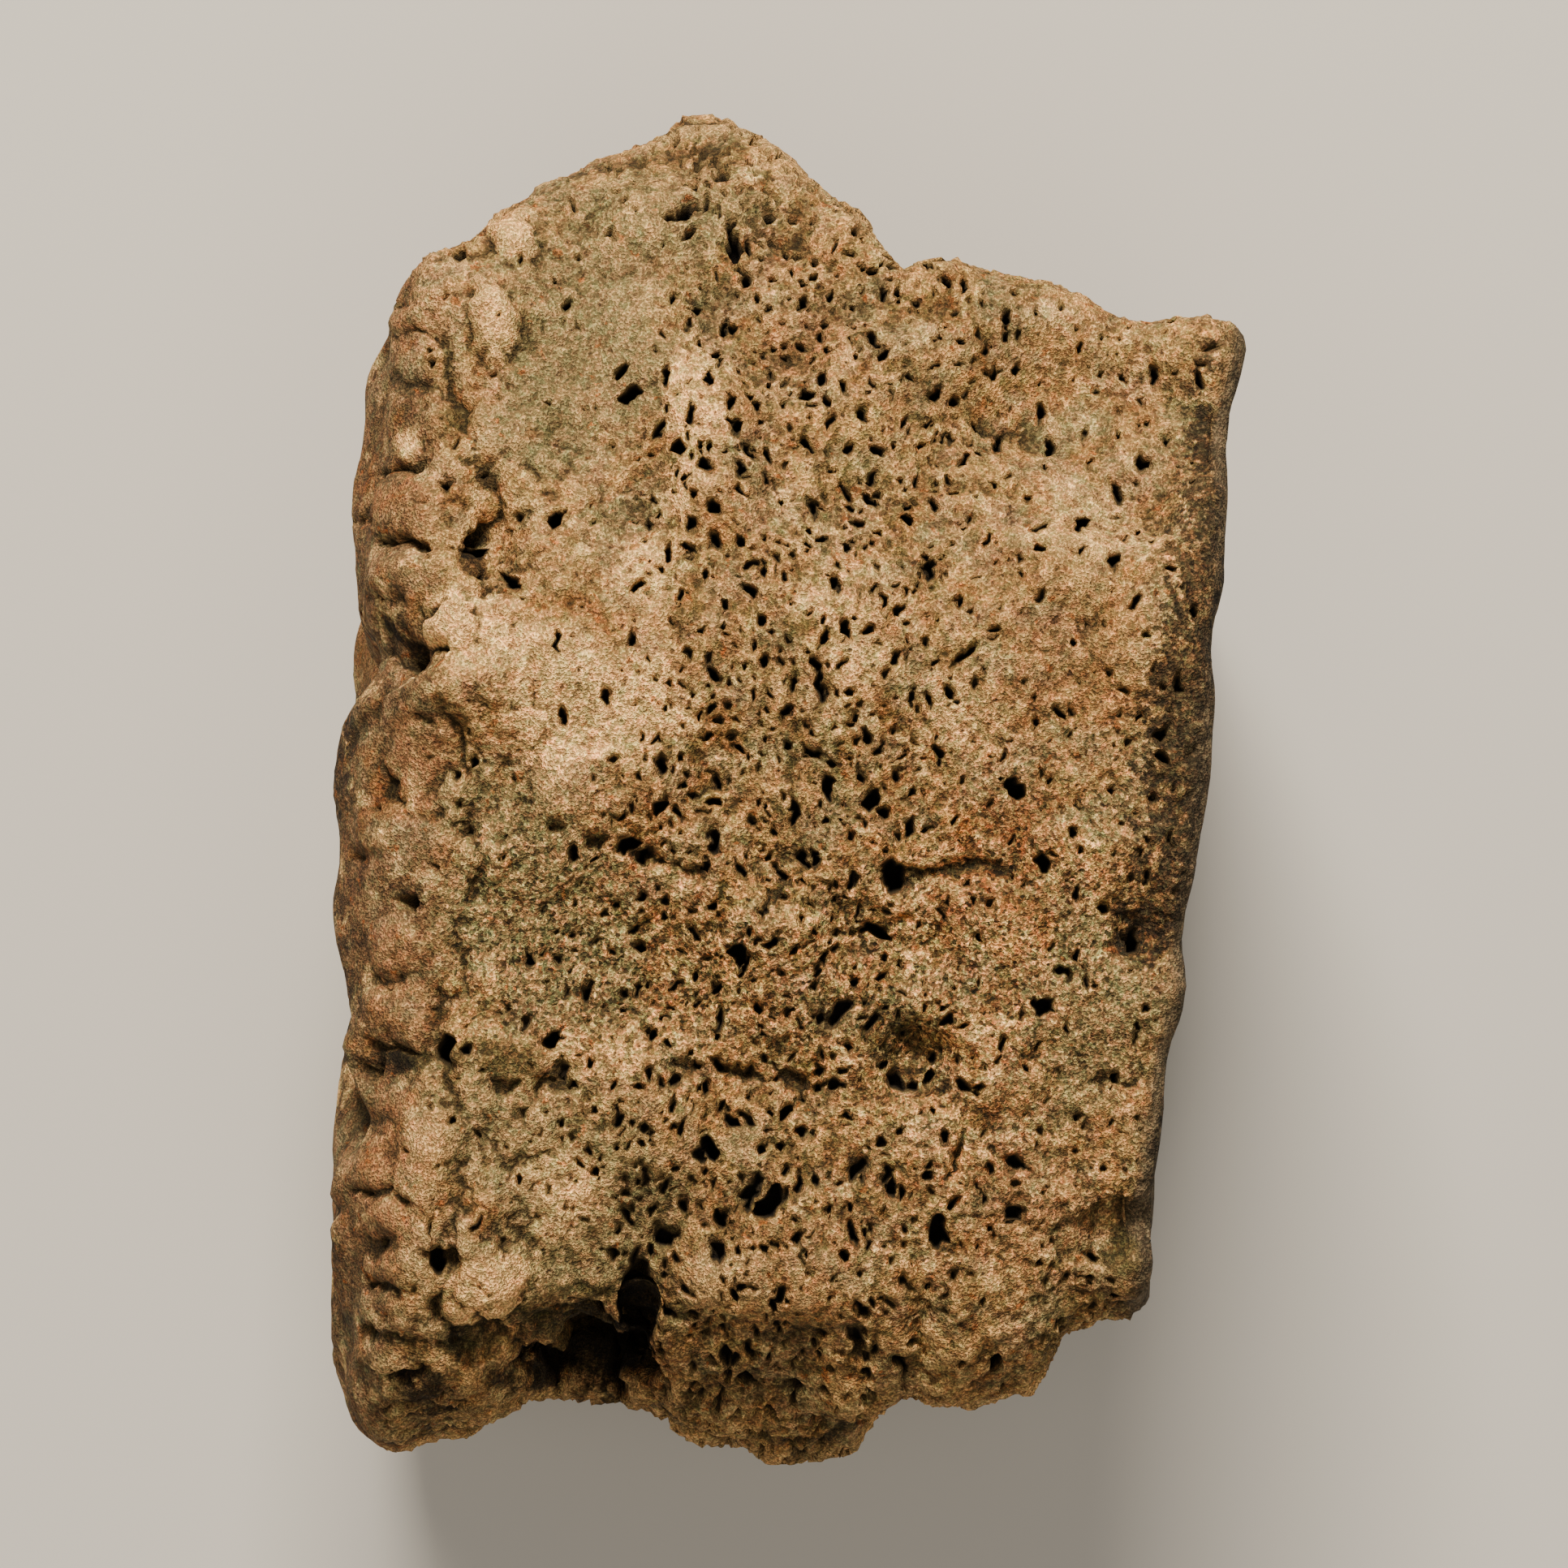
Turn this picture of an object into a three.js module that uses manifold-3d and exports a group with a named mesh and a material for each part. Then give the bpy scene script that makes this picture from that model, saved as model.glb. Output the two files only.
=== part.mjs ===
// A fossil scute of a glyptodon: one thick many-sided tile of bone from the animal's shell.
// It stands on one of its edges, with the edge opposite it facing up.
//   X is the tile's thickness: the ornamented outer face is at -X and the smooth inner face at +X.
//   Y is its length and Z its height above the edge that it rests on, which lies on Z = 0.
// The surface is a function of two parameters: the angle round the tile, and the way along its section,
// from the middle of the outer face over the shoulder, across the edge wall and in to the middle of the
// inner face.
// Relief is added along the normal of that plain form, and open pores are cut in with booleans.
import * as THREE from "three";
import { mergeVertices } from "three/addons/utils/BufferGeometryUtils.js";
import Module from "manifold-3d";

// ---- Driving dimensions, in millimetres and degrees ----
const CENTRE_Z = 25.2; // the tile's middle above the surface it rests on
const SIDES = [
  // the tile's whole edges: which way each faces, from up (+Z) towards +Y, and its distance from the middle
  { faces: -2, distance: 24.6 },
  { faces: 22, distance: 26 },
  { faces: 50, distance: 31.5 },
  { faces: 142, distance: 30.5 },
  { faces: 180, distance: 26 },
  { faces: -134, distance: 33 },
  { faces: -50, distance: 34 },
];
const CORNER_SHARPNESS = 18; // the higher, the sharper the corners between the edges

// The two broken ends: which way each faces, and [x, distance] across the thickness.
const TOP_FACES = 100;
const TOP_END = [
  [-21, 18.2],
  [-17.7, 21.1],
  [-14.1, 22.8],
  [-12.3, 24.7],
  [-7.4, 28.4],
  [-4.8, 30.3],
  [-2.6, 29.2],
  [0.5, 25.2],
  [2.7, 23.5],
  [5.2, 19.6],
  [7.4, 20.7],
  [10.6, 20.5],
  [13, 19.7],
  [19.2, 18.7],
  [21, 17],
];
const BOTTOM_FACES = -94;
const BOTTOM_END = [
  [-21, 26.8],
  [-17.8, 29.7],
  [-15, 29.1],
  [-12.5, 27.7],
  [-10, 27.2],
  [-7, 27.7],
  [-4, 28.7],
  [1, 29.9],
  [3, 30.5],
  [5, 27],
  [8.6, 28],
  [11, 27.5],
  [12.7, 24.2],
  [15, 23.8],
  [16.4, 22.7],
  [18, 18.3],
];
const END_WANDER = 4; // how far the broken profiles shift in X lower down
const LOWER = [-0.35, 0.9]; // they begin and end to do so as minus the cosine of the angle passes these
const UPWARD = [0.3, 0.6]; // the cosine of the angle over which the upward edge's own relief fades in

// Values that change round the tile: on the up side, at +Y, on the resting side and at -Y.
const OUTER_RIM_X = [-13.8, -16.6, -16, -18.4]; // where the shoulder meets the edge wall
const CREST_X = [-19.7, -17.8, -19.4, -20.1]; // the highest ring of the outer face
const SHOULDER_RUN = [8, 8, 7, 3.2]; // how far the shoulder rounds in from the rim
const OUTER_MIDDLE_X = -19.2;
const INNER_X = 18.8; // the inner face's plane, in the middle
const INNER_TILT = 0.1; // how much it leans outwards with Y
const INNER_HOLLOW = 0.8; // how much the inner face is dished
const INNER_ROUND = [1.1, 1.1, 1.4, 2.2]; // its worn rim

// Ornament: a central figure inside a ring groove, and outer figures parted by radial grooves.
const RING_SHARE = 0.45; // the ring groove's radius as a share of the rim's
const RING_WOBBLE = 0.05;
const RADIAL_GROOVES = [16, 80, 124, 168, -150, -102, -33]; // degrees from up towards +Y
const GROOVE_BEND = 0.09; // how far a radial groove wanders, in radians
const GROOVE_DEPTH = 2;
const GROOVE_HALF_WIDTH = 1.5;
const FIGURE_BULGE = 0.9;
const BULGE_REACH = 3.5; // how far from a groove a figure reaches its full height
const FURROW_DEPTH = 0.5; // short furrows across the shoulder
const FURROWS_ROUND = 40;
const FURROW_UNEVEN = 0.1; // how far they stray from even spacing, in radians
const FLANK = [0.72, 0.86]; // they fade in between these shares of the rim's radius
const ORNAMENT_END = 0.6; // the share of the shoulder past which the ornament fades towards the edge wall

// Roughness of the broken and worn surfaces: [size of the lumps, height on the edges, height on the faces].
const LUMPS = [
  [7.5, 1.1, 0.35],
  [3.2, 0.75, 0.28],
];
// On the worn side that it rests on the relief fades to the last share, as minus the cosine of the angle
// passes from the first value to the second.
const WORN = [0.75, 0.97, 0.2];

// Hollows and lumps on the upward edge: middle x, y, half sizes x, y, and depth, where a lump is negative.
const DENTS = [
  [-9.1, -28.9, 2.9, 2.3, 8], // the open cavity near the lower end
  [-6.3, -24.2, 0.9, 1.8, 3.6], // its slit
  [-14, -19, 2.2, 2.6, -0.9],
  [12.5, 18.5, 6.5, 3.6, 2.4], // the terrace that falls back at the upper end
  [-3.6, 17, 3.4, 6, -0.8], // the ridge that runs up to the peak
  [6.2, -7.6, 6.5, 2.6, 0.9], // the step below the long crack
  [-5.5, -8, 4.5, 3, 0.7],
  [5.9, -12.4, 1.2, 1.5, 1.6],
  [-13.2, 11, 1.2, 2.3, 1.5], // the groove behind the outer layer
  [-10.5, 4.2, 3.4, 2.4, -0.8],
  [15.7, -7, 1.2, 1.1, 0.6],
  [-0.6, -3.7, 1.2, 1.1, 0.6],
  [1.5, 9, 5.5, 6, -0.5],
  [-13.7, 4.2, 1.6, 1.1, -0.8],
  [15.2, -20.8, 2, 1.1, 1.2],
  [6.3, -24.6, 0.9, 2.2, 1.7],
];

// Long cracks and lips on the upward edge: points along each, its half width and depth.
const CRACKS = [
  {
    line: [
      [-10.6, -2.2],
      [-6.6, -2.9],
      [-3.2, -4.9],
      [1.4, -5.4],
      [5, -4.4],
      [8.6, -3.6],
      [13.4, -5],
    ],
    half: 0.7,
    depth: 1.3,
  },
  {
    line: [
      [-13, -13.3],
      [-9.6, -13.6],
      [-4.6, -12.6],
      [-0.6, -12.9],
      [1.6, -14],
    ],
    half: 0.65,
    depth: 1.2,
  },
  {
    line: [
      [11.4, -12.4],
      [14.2, -13.2],
      [17.2, -13.5],
    ],
    half: 0.6,
    depth: 0.9,
  },
  {
    line: [
      [-16.2, 22.6],
      [-14.8, 17.5],
      [-13.4, 13],
      [-13.6, 8.6],
      [-15.4, 5.4],
      [-14.2, 0.5],
      [-14, -5],
      [-15.4, -11],
      [-14.2, -16.5],
      [-14.8, -22.6],
      [-12.4, -25.4],
    ],
    half: 0.55,
    depth: 0.5,
  },
];

// Single large pores of the upward edge and its shoulder: x, y, radius and depth.
const LARGE_PORES = [
  [-5.1, 15.2, 0.7, 2.6],
  [-13.9, 10.4, 0.55, 2.6],
  [-17.3, 5.7, 0.55, 1.8],
  [5.4, 11.8, 0.6, 2],
  [2, 0, 0.55, 2],
  [4.1, -0.8, 0.55, 2],
  [4.9, -4.1, 0.85, 3],
  [-6.8, -2.8, 0.6, 2.4],
  [-14.9, -11.9, 0.8, 3],
  [-10.2, -11.7, 0.55, 2.6],
  [6.4, -13.2, 0.55, 2.6],
  [-15.3, -21.2, 0.6, 2],
  [4.1, -6.9, 0.6, 2.4],
  [-1.9, -7.5, 0.6, 2.4],
  [11.7, -10.2, 0.6, 2],
  [15.7, -6.9, 0.5, 1.6],
  [-5.4, -0.8, 0.65, 1.6],
  [-10.4, 11.8, 0.55, 2.2],
  [-7, 17.7, 0.6, 2.2],
  [-4.8, 26, 0.65, 2],
  [-2.9, 28, 0.55, 2.4],
  [-2.3, 24.8, 0.6, 2],
  [7.1, -20, 0.6, 2.6],
  [9.7, -26.2, 0.55, 2.2],
  [-17.1, -5.4, 0.6, 1.8],
  [13.4, 11.8, 0.55, 1.8],
  [10.3, -0.2, 0.6, 2],
  [11.3, -3.6, 0.55, 2],
  [-3.3, -16.5, 0.7, 2.8],
  [-0.6, -18.5, 0.6, 2.6],
  [-3, -19.4, 0.55, 2.4],
];

// The regular pores of the spongy middle: a jittered lattice over the edge wall, of which the widest are cut.
const PORE_CELL = 1.5;
const PORE_ROWS = [-9, 11]; // the first and last row of cells in X
const CELL_MARGIN = 0.15; // a pore keeps this share of its cell clear on each side
const PORE_WRAP_RADIUS = 27.5; // the lattice is wrapped round a cylinder of this radius
const SPONGE_X = [-6, -2.5, 7, 13]; // the sponge fades in and out across the thickness between these
const THINNED = 0.8; // how far it has faded on the worn side next to the inner face
const THINNEST = 0.15; // the share of pores that is left outside the sponge
const RIM_MARGIN = 0.04; // no pore within this share of the edge wall from its two rims
const RESTING = -0.6; // and none where the cosine of the angle is below this
const WIDE_PORE = 0.915; // pores whose random size is over this share are wide enough to be cut
const PORE_RADIUS = [0.42, 0.85];
const PORE_DEPTH = 2.2;
const PORE_SIDES = 5;
const PORE_CLEARANCE = [0.4, 0.35]; // how far a pore's cutter stands out: a length, and a share of its depth
const FOLLICLES = [0, 1, 3, 5, 6]; // the radial grooves with a hair pit where they meet the ring groove
const FOLLICLE = { radius: 1.15, depth: 2.6 };
const FORAMINA = [
  // blood vessel openings of the inner face: y, z above the middle
  [7, 4],
  [-9, -3],
  [2, -12],
];
const FORAMEN = { radius: 0.9, depth: 3 };

// Grid: columns on the upward half and on the rest, and rows for each part of the section.
const UPWARD_HALF_ANGLE = 62;
const UPWARD_COLUMNS = 54;
const OTHER_COLUMNS = 33;
const ROWS = [10, 6, 20, 2, 3]; // outer face, shoulder, edge wall, inner rim, inner face

// ---- Small tools ----
const RAD = Math.PI / 180;

function clamp01(v) {
  return Math.min(1, Math.max(0, v));
}

// 0 below a, 1 above b, and a smooth step between.
function step(a, b, v) {
  const t = clamp01((v - a) / (b - a));
  return t * t * (3 - 2 * t);
}

// A value blended round the tile from those on its up, +Y, resting and -Y sides, by the squares of the
// sine and cosine.
function around(angle, [up, plusY, resting, minusY]) {
  const c = Math.cos(angle);
  const s = Math.sin(angle);
  return (c > 0 ? up : resting) * c * c + (s > 0 ? plusY : minusY) * s * s;
}

// Straight lines between [x, value] points.
function along(points, x) {
  if (x <= points[0][0]) return points[0][1];
  for (let i = 1; i < points.length; i++) {
    const [x0, v0] = points[i - 1];
    const [x1, v1] = points[i];
    if (x <= x1) return v0 + ((v1 - v0) * (x - x0)) / (x1 - x0);
  }
  return points[points.length - 1][1];
}

// A fixed random number from 0 to 1 for a lattice point.
function hash(i, j, k) {
  let h = Math.imul(i, 374761393) ^ Math.imul(j, 668265263) ^ Math.imul(k, 1103515245);
  h = Math.imul(h ^ (h >>> 13), 1274126177);
  h = Math.imul(h ^ (h >>> 15), 2246822519);
  return ((h ^ (h >>> 16)) >>> 0) / 4294967296;
}

// Smooth lattice noise from -1 to 1 at a point, with lumps about one unit across.
function noise(x, y, z) {
  const [i, j, k] = [Math.floor(x), Math.floor(y), Math.floor(z)];
  const fade = (t) => t * t * t * (t * (t * 6 - 15) + 10);
  const [u, v, w] = [fade(x - i), fade(y - j), fade(z - k)];
  let sum = 0;
  for (let c = 0; c < 8; c++) {
    const [a, b, d] = [c & 1, (c >> 1) & 1, (c >> 2) & 1];
    sum += hash(i + a, j + b, k + d) * (a ? u : 1 - u) * (b ? v : 1 - v) * (d ? w : 1 - w);
  }
  return 2 * sum - 1;
}

// How far a point lies from a bent line.
function distanceToLine(line, x, y) {
  let best = Infinity;
  for (let i = 1; i < line.length; i++) {
    const [ax, ay] = line[i - 1];
    const [bx, by] = line[i];
    const t = clamp01(((x - ax) * (bx - ax) + (y - ay) * (by - ay)) / ((bx - ax) ** 2 + (by - ay) ** 2));
    best = Math.min(best, Math.hypot(x - ax - t * (bx - ax), y - ay - t * (by - ay)));
  }
  return best;
}

// ---- The plain form ----

// Radius of the edge wall at thickness x: a high power mean of the edge planes and the two broken ends
// rounds the corners between them, and the dents sink the upward edge.
function wallRadius(angle, x) {
  const low = step(...LOWER, -Math.cos(angle));
  const endX = x + END_WANDER * low * noise(4 * Math.cos(angle), 4 * Math.sin(angle), x / 9);
  const ends = [
    { faces: TOP_FACES, distance: along(TOP_END, endX) },
    { faces: BOTTOM_FACES, distance: along(BOTTOM_END, endX) },
  ];
  let sum = 0;
  for (const { faces, distance } of [...SIDES, ...ends]) {
    const lean = Math.cos(angle - faces * RAD);
    if (lean > 0) sum += (lean / distance) ** CORNER_SHARPNESS;
  }
  const radius = sum ** (-1 / CORNER_SHARPNESS);
  return radius - step(...UPWARD, Math.cos(angle)) * dentDepth(x, radius * Math.sin(angle));
}

// How far the dents sink the upward edge at a place.
function dentDepth(x, y) {
  let depth = 0;
  for (const [atX, atY, halfX, halfY, deep] of DENTS) {
    depth += deep * Math.exp(-(((x - atX) / halfX) ** 2) - ((y - atY) / halfY) ** 2);
  }
  return depth;
}

// Radius and x of the section at an angle. Part 0 is the outer face, 1 the shoulder, 2 the edge wall, 3 the
// inner rim and 4 the inner face, and share runs from 0 to 1 through each.
function section(angle, part, share) {
  const rimX = around(angle, OUTER_RIM_X);
  const rim = wallRadius(angle, rimX);
  const run = around(angle, SHOULDER_RUN);
  const crest = around(angle, CREST_X);
  if (part === 0) return [(rim - run) * share, OUTER_MIDDLE_X + (crest - OUTER_MIDDLE_X) * share * share];
  if (part === 1) {
    const turn = (share * Math.PI) / 2;
    return [rim - run + run * Math.sin(turn), rimX + (crest - rimX) * Math.cos(turn)];
  }
  const round = around(angle, INNER_ROUND);
  const endX = INNER_X + INNER_TILT * wallRadius(angle, INNER_X) * Math.sin(angle) - round;
  if (part === 2) {
    const x = rimX + (endX - rimX) * share;
    return [wallRadius(angle, x), x];
  }
  const innerRim = wallRadius(angle, endX) - round;
  const turn = (share * Math.PI) / 2;
  if (part === 3) return [innerRim + round * Math.cos(turn), endX + round * Math.sin(turn)];
  const q = 1 - share;
  return [innerRim * q, INNER_X + (endX + round - INNER_X) * q - INNER_HOLLOW * (1 - q * q)];
}

function plainPoint(angle, part, share) {
  const [r, x] = section(angle, part, share);
  return new THREE.Vector3(x, r * Math.sin(angle), CENTRE_Z + r * Math.cos(angle));
}

// Outward normal of the plain form, from small steps both ways along its two parameters.
function plainNormal(angle, part, share) {
  const e = 0.01;
  const middle = Math.min(0.98, Math.max(0.02, share));
  const round = plainPoint(angle + e, part, middle).sub(plainPoint(angle - e, part, middle));
  const on = plainPoint(angle, part, middle + e).sub(plainPoint(angle, part, middle - e));
  if (round.lengthSq() < 1e-12) return new THREE.Vector3(part === 0 ? -1 : 1, 0, 0);
  return on.cross(round).normalize();
}

// ---- Relief, outwards, in millimetres ----

// Figures of the outer face: full height inside a figure, sunk along the ring groove and the radial grooves.
function ornament(angle, r, rim) {
  const wobble = RING_WOBBLE * noise(3 * Math.cos(angle) + 9, 3 * Math.sin(angle), 1.5);
  const ring = rim * (RING_SHARE + wobble);
  let nearest = Math.abs(r - ring);
  if (r > ring - GROOVE_HALF_WIDTH) {
    for (const degrees of RADIAL_GROOVES) {
      const bend = GROOVE_BEND * noise(r / 6, degrees, 4.5);
      const apart = angle - degrees * RAD - bend;
      if (Math.cos(apart) > 0) nearest = Math.min(nearest, Math.abs(r * Math.sin(apart)));
    }
  }
  const groove = Math.exp(-((nearest / GROOVE_HALF_WIDTH) ** 2));
  const bulge = 1 - Math.exp(-((nearest / BULGE_REACH) ** 2));
  const flank = step(...FLANK, r / rim);
  const uneven = FURROW_UNEVEN * noise(4 * Math.cos(angle), 4 * Math.sin(angle), r / 5);
  const furrow = 0.5 + 0.5 * Math.cos(FURROWS_ROUND * (angle + uneven));
  return FIGURE_BULGE * bulge - GROOVE_DEPTH * groove - FURROW_DEPTH * flank * furrow ** 3;
}

// The long cracks of the upward edge, by their place in x and y.
function crackRelief(p) {
  let h = 0;
  for (const { line, half, depth } of CRACKS) {
    h -= depth * Math.exp(-((distanceToLine(line, p.x, p.y) / half) ** 2));
  }
  return h;
}

// How much a place belongs to the broken edge wall, from 0 on the two faces to 1 on the wall.
function wallness(part, share) {
  return [0, share, 1, 1 - share, 0][part];
}

// The relief at a place of the plain form.
function relief(angle, part, share, p) {
  const wall = wallness(part, share);
  let h = 0;
  for (const [size, onWall, onFace] of LUMPS) {
    h += (onFace + (onWall - onFace) * wall) * noise(p.x / size + 7, p.y / size, p.z / size);
  }
  if (part < 2) {
    const rim = wallRadius(angle, around(angle, OUTER_RIM_X));
    h += ornament(angle, section(angle, part, share)[0], rim) * (1 - step(ORNAMENT_END, 1, wall));
  }
  h += step(...UPWARD, Math.cos(angle)) * wall * crackRelief(p);
  const [begins, ends, left] = WORN;
  return h * (1 - (1 - left) * step(begins, ends, -Math.cos(angle)));
}

function surfacePoint(angle, part, share) {
  const p = plainPoint(angle, part, share);
  p.addScaledVector(plainNormal(angle, part, share), relief(angle, part, share, p));
  p.z = Math.max(0, p.z); // the worn side that it rests on is flat
  return p;
}

// ---- Meshes ----

// Columns round the tile, closer together on the upward side.
function columnAngles() {
  const angles = [];
  const half = UPWARD_HALF_ANGLE * RAD;
  for (let i = 0; i < UPWARD_COLUMNS; i++) angles.push(-half + (2 * half * i) / UPWARD_COLUMNS);
  for (let i = 0; i < OTHER_COLUMNS; i++) angles.push(half + ((2 * Math.PI - 2 * half) * i) / OTHER_COLUMNS);
  return angles;
}

// The whole surface as one closed mesh: rings of points from one middle to the other, each middle a single
// point.
function tileGeometry() {
  const angles = columnAngles();
  const rings = [];
  ROWS.forEach((rows, part) => {
    for (let i = 0; i < rows; i++) if (part > 0 || i > 0) rings.push([part, i / rows]);
  });
  const points = [surfacePoint(0, 0, 0)];
  for (const [part, share] of rings) points.push(...angles.map((angle) => surfacePoint(angle, part, share)));
  points.push(surfacePoint(0, 4, 1));
  const count = angles.length;
  const at = (ring, column) => 1 + ring * count + (column % count);
  const faces = [];
  for (let c = 0; c < count; c++) {
    faces.push([0, at(0, c), at(0, c + 1)]);
    for (let ring = 0; ring + 1 < rings.length; ring++) {
      faces.push([at(ring, c), at(ring + 1, c), at(ring + 1, c + 1)]);
      faces.push([at(ring, c), at(ring + 1, c + 1), at(ring, c + 1)]);
    }
    faces.push([at(rings.length - 1, c), points.length - 1, at(rings.length - 1, c + 1)]);
  }
  const geometry = new THREE.BufferGeometry();
  geometry.setFromPoints(points);
  geometry.setIndex(faces.flat());
  return geometry;
}

// A pointed pore with its mouth a little above the surface at a point, and its tip at depth below it.
function poreGeometry(mouth, outward, radius, depth, turn) {
  const above = PORE_CLEARANCE[0] + PORE_CLEARANCE[1] * depth;
  const length = depth + above;
  const cone = new THREE.ConeGeometry((radius * length) / depth, length, PORE_SIDES);
  cone.rotateY(turn);
  cone.rotateX(Math.PI);
  cone.translate(0, above - length / 2, 0);
  cone.applyQuaternion(new THREE.Quaternion().setFromUnitVectors(new THREE.Vector3(0, 1, 0), outward));
  cone.translate(mouth.x, mouth.y, mouth.z);
  return cone;
}

// The angle, part and share at which the plain form has a given x and y on the up side.
function upwardPlace(x, y) {
  let angle = Math.atan2(y, CENTRE_Z);
  for (let i = 0; i < 30; i++) {
    const radius = wallRadius(angle, x);
    angle = Math.asin(Math.max(-1, Math.min(1, y / radius)));
  }
  const rimX = around(angle, OUTER_RIM_X);
  const endX = section(angle, 3, 0)[1];
  if (x >= rimX) return [angle, 2, clamp01((x - rimX) / (endX - rimX))];
  const crest = around(angle, CREST_X);
  return [angle, 1, Math.acos(clamp01((x - rimX) / (crest - rimX))) / (Math.PI / 2)];
}

function poreAt(place, radius, depth, turn) {
  return poreGeometry(surfacePoint(...place), plainNormal(...place), radius, depth, turn);
}

// Regular pores: one in each cell of a lattice over x and the wrapped angle, moved and sized at random.
function latticePores() {
  const cells = Math.round((2 * Math.PI * PORE_WRAP_RADIUS) / PORE_CELL);
  const inCell = (i, j, draw) => CELL_MARGIN + (1 - 2 * CELL_MARGIN) * hash(i, j, draw);
  const made = [];
  for (let i = PORE_ROWS[0]; i <= PORE_ROWS[1]; i++) {
    for (let j = 0; j < cells; j++) {
      const x = (i + inCell(i, j, 11)) * PORE_CELL;
      const angle = ((j + inCell(i, j, 12)) / cells) * 2 * Math.PI;
      const size = hash(i, j, 13);
      const [begins, full, thins, thinnest] = SPONGE_X;
      const sponge = step(begins, full, x) * (1 - THINNED * step(thins, thinnest, x));
      if (size < WIDE_PORE || hash(i, j, 14) > THINNEST + (1 - THINNEST) * sponge) continue;
      const rimX = around(angle, OUTER_RIM_X);
      const share = (x - rimX) / (section(angle, 3, 0)[1] - rimX);
      if (share < RIM_MARGIN || share > 1 - RIM_MARGIN || Math.cos(angle) < RESTING) continue;
      const radius = PORE_RADIUS[0] + (PORE_RADIUS[1] - PORE_RADIUS[0]) * size;
      made.push(poreAt([angle, 2, share], radius, PORE_DEPTH, 6 * hash(i, j, 15)));
    }
  }
  return made;
}

function allPores() {
  const made = LARGE_PORES.map(([x, y, radius, depth], i) => poreAt(upwardPlace(x, y), radius, depth, i));
  for (const i of FOLLICLES) {
    const angle = RADIAL_GROOVES[i] * RAD;
    const rim = wallRadius(angle, around(angle, OUTER_RIM_X));
    const share = (RING_SHARE * rim) / (rim - around(angle, SHOULDER_RUN));
    made.push(poreAt([angle, 0, share], FOLLICLE.radius, FOLLICLE.depth, i));
  }
  for (const [y, z] of FORAMINA) {
    const angle = Math.atan2(y, z);
    const share = 1 - Math.hypot(y, z) / section(angle, 4, 0)[0];
    made.push(poreAt([angle, 4, share], FORAMEN.radius, FORAMEN.depth, y));
  }
  return made.concat(latticePores());
}

// ---- The solid ----
const wasm = await Module();
wasm.setup();

function solid(geometry) {
  const bare = geometry.clone();
  bare.deleteAttribute("normal");
  bare.deleteAttribute("uv");
  const merged = mergeVertices(bare, 1e-4);
  return new wasm.Manifold(
    new wasm.Mesh({
      numProp: 3,
      vertProperties: new Float32Array(merged.attributes.position.array),
      triVerts: new Uint32Array(merged.index.array),
    }),
  );
}

function cutScute() {
  const bone = solid(tileGeometry()).subtract(wasm.Manifold.union(allPores().map(solid)));
  const mesh = bone.getMesh();
  const geometry = new THREE.BufferGeometry();
  geometry.setAttribute("position", new THREE.BufferAttribute(new Float32Array(mesh.vertProperties), 3));
  geometry.setIndex(new THREE.BufferAttribute(new Uint32Array(mesh.triVerts), 1));
  geometry.computeVertexNormals();
  return geometry;
}

const fossilBone = new THREE.MeshStandardMaterial({
  color: 0xb08d5f,
  roughness: 0.92,
  metalness: 0,
  flatShading: true,
});

const scute = new THREE.Mesh(cutScute(), fossilBone);
scute.name = "scute";

const part = new THREE.Group();
part.add(scute);

export default part;
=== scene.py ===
"""A fossil scute of a glyptodon, dressed: its grown and broken surfaces, mineral stains, light and camera.

The scute is one thick bone tile standing on an edge. X is its thickness, with the ornamented outer face at
-X and the smooth inner face at +X, Y is its length, and the broken edge faces up. Lengths are in millimetres
until the mesh is made. The surface is a function of two parameters: the angle round the tile, and the way
along its section, from the middle of the outer face over the shoulder, across the edge wall to the middle of
the inner face.
"""

import math
from types import SimpleNamespace

import bpy
import numpy as np
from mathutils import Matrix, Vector


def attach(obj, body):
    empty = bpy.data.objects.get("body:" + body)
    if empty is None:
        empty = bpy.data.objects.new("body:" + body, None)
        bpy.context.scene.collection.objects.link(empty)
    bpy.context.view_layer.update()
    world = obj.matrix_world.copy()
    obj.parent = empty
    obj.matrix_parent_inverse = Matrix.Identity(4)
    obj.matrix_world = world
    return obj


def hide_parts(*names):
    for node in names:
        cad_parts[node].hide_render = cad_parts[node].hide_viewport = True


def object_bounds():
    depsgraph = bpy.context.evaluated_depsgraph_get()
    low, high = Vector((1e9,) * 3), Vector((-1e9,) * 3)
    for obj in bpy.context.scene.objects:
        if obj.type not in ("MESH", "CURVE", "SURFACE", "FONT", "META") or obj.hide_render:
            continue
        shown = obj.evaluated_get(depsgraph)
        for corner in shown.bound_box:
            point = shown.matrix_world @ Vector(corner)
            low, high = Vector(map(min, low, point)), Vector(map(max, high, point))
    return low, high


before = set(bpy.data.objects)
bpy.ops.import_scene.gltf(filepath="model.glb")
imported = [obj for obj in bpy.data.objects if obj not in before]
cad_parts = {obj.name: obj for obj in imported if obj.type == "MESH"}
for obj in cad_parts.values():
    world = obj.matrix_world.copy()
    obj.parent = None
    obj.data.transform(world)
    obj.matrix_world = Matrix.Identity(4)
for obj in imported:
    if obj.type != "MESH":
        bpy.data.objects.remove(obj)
solid_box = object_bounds()
MM = 0.001

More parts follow.
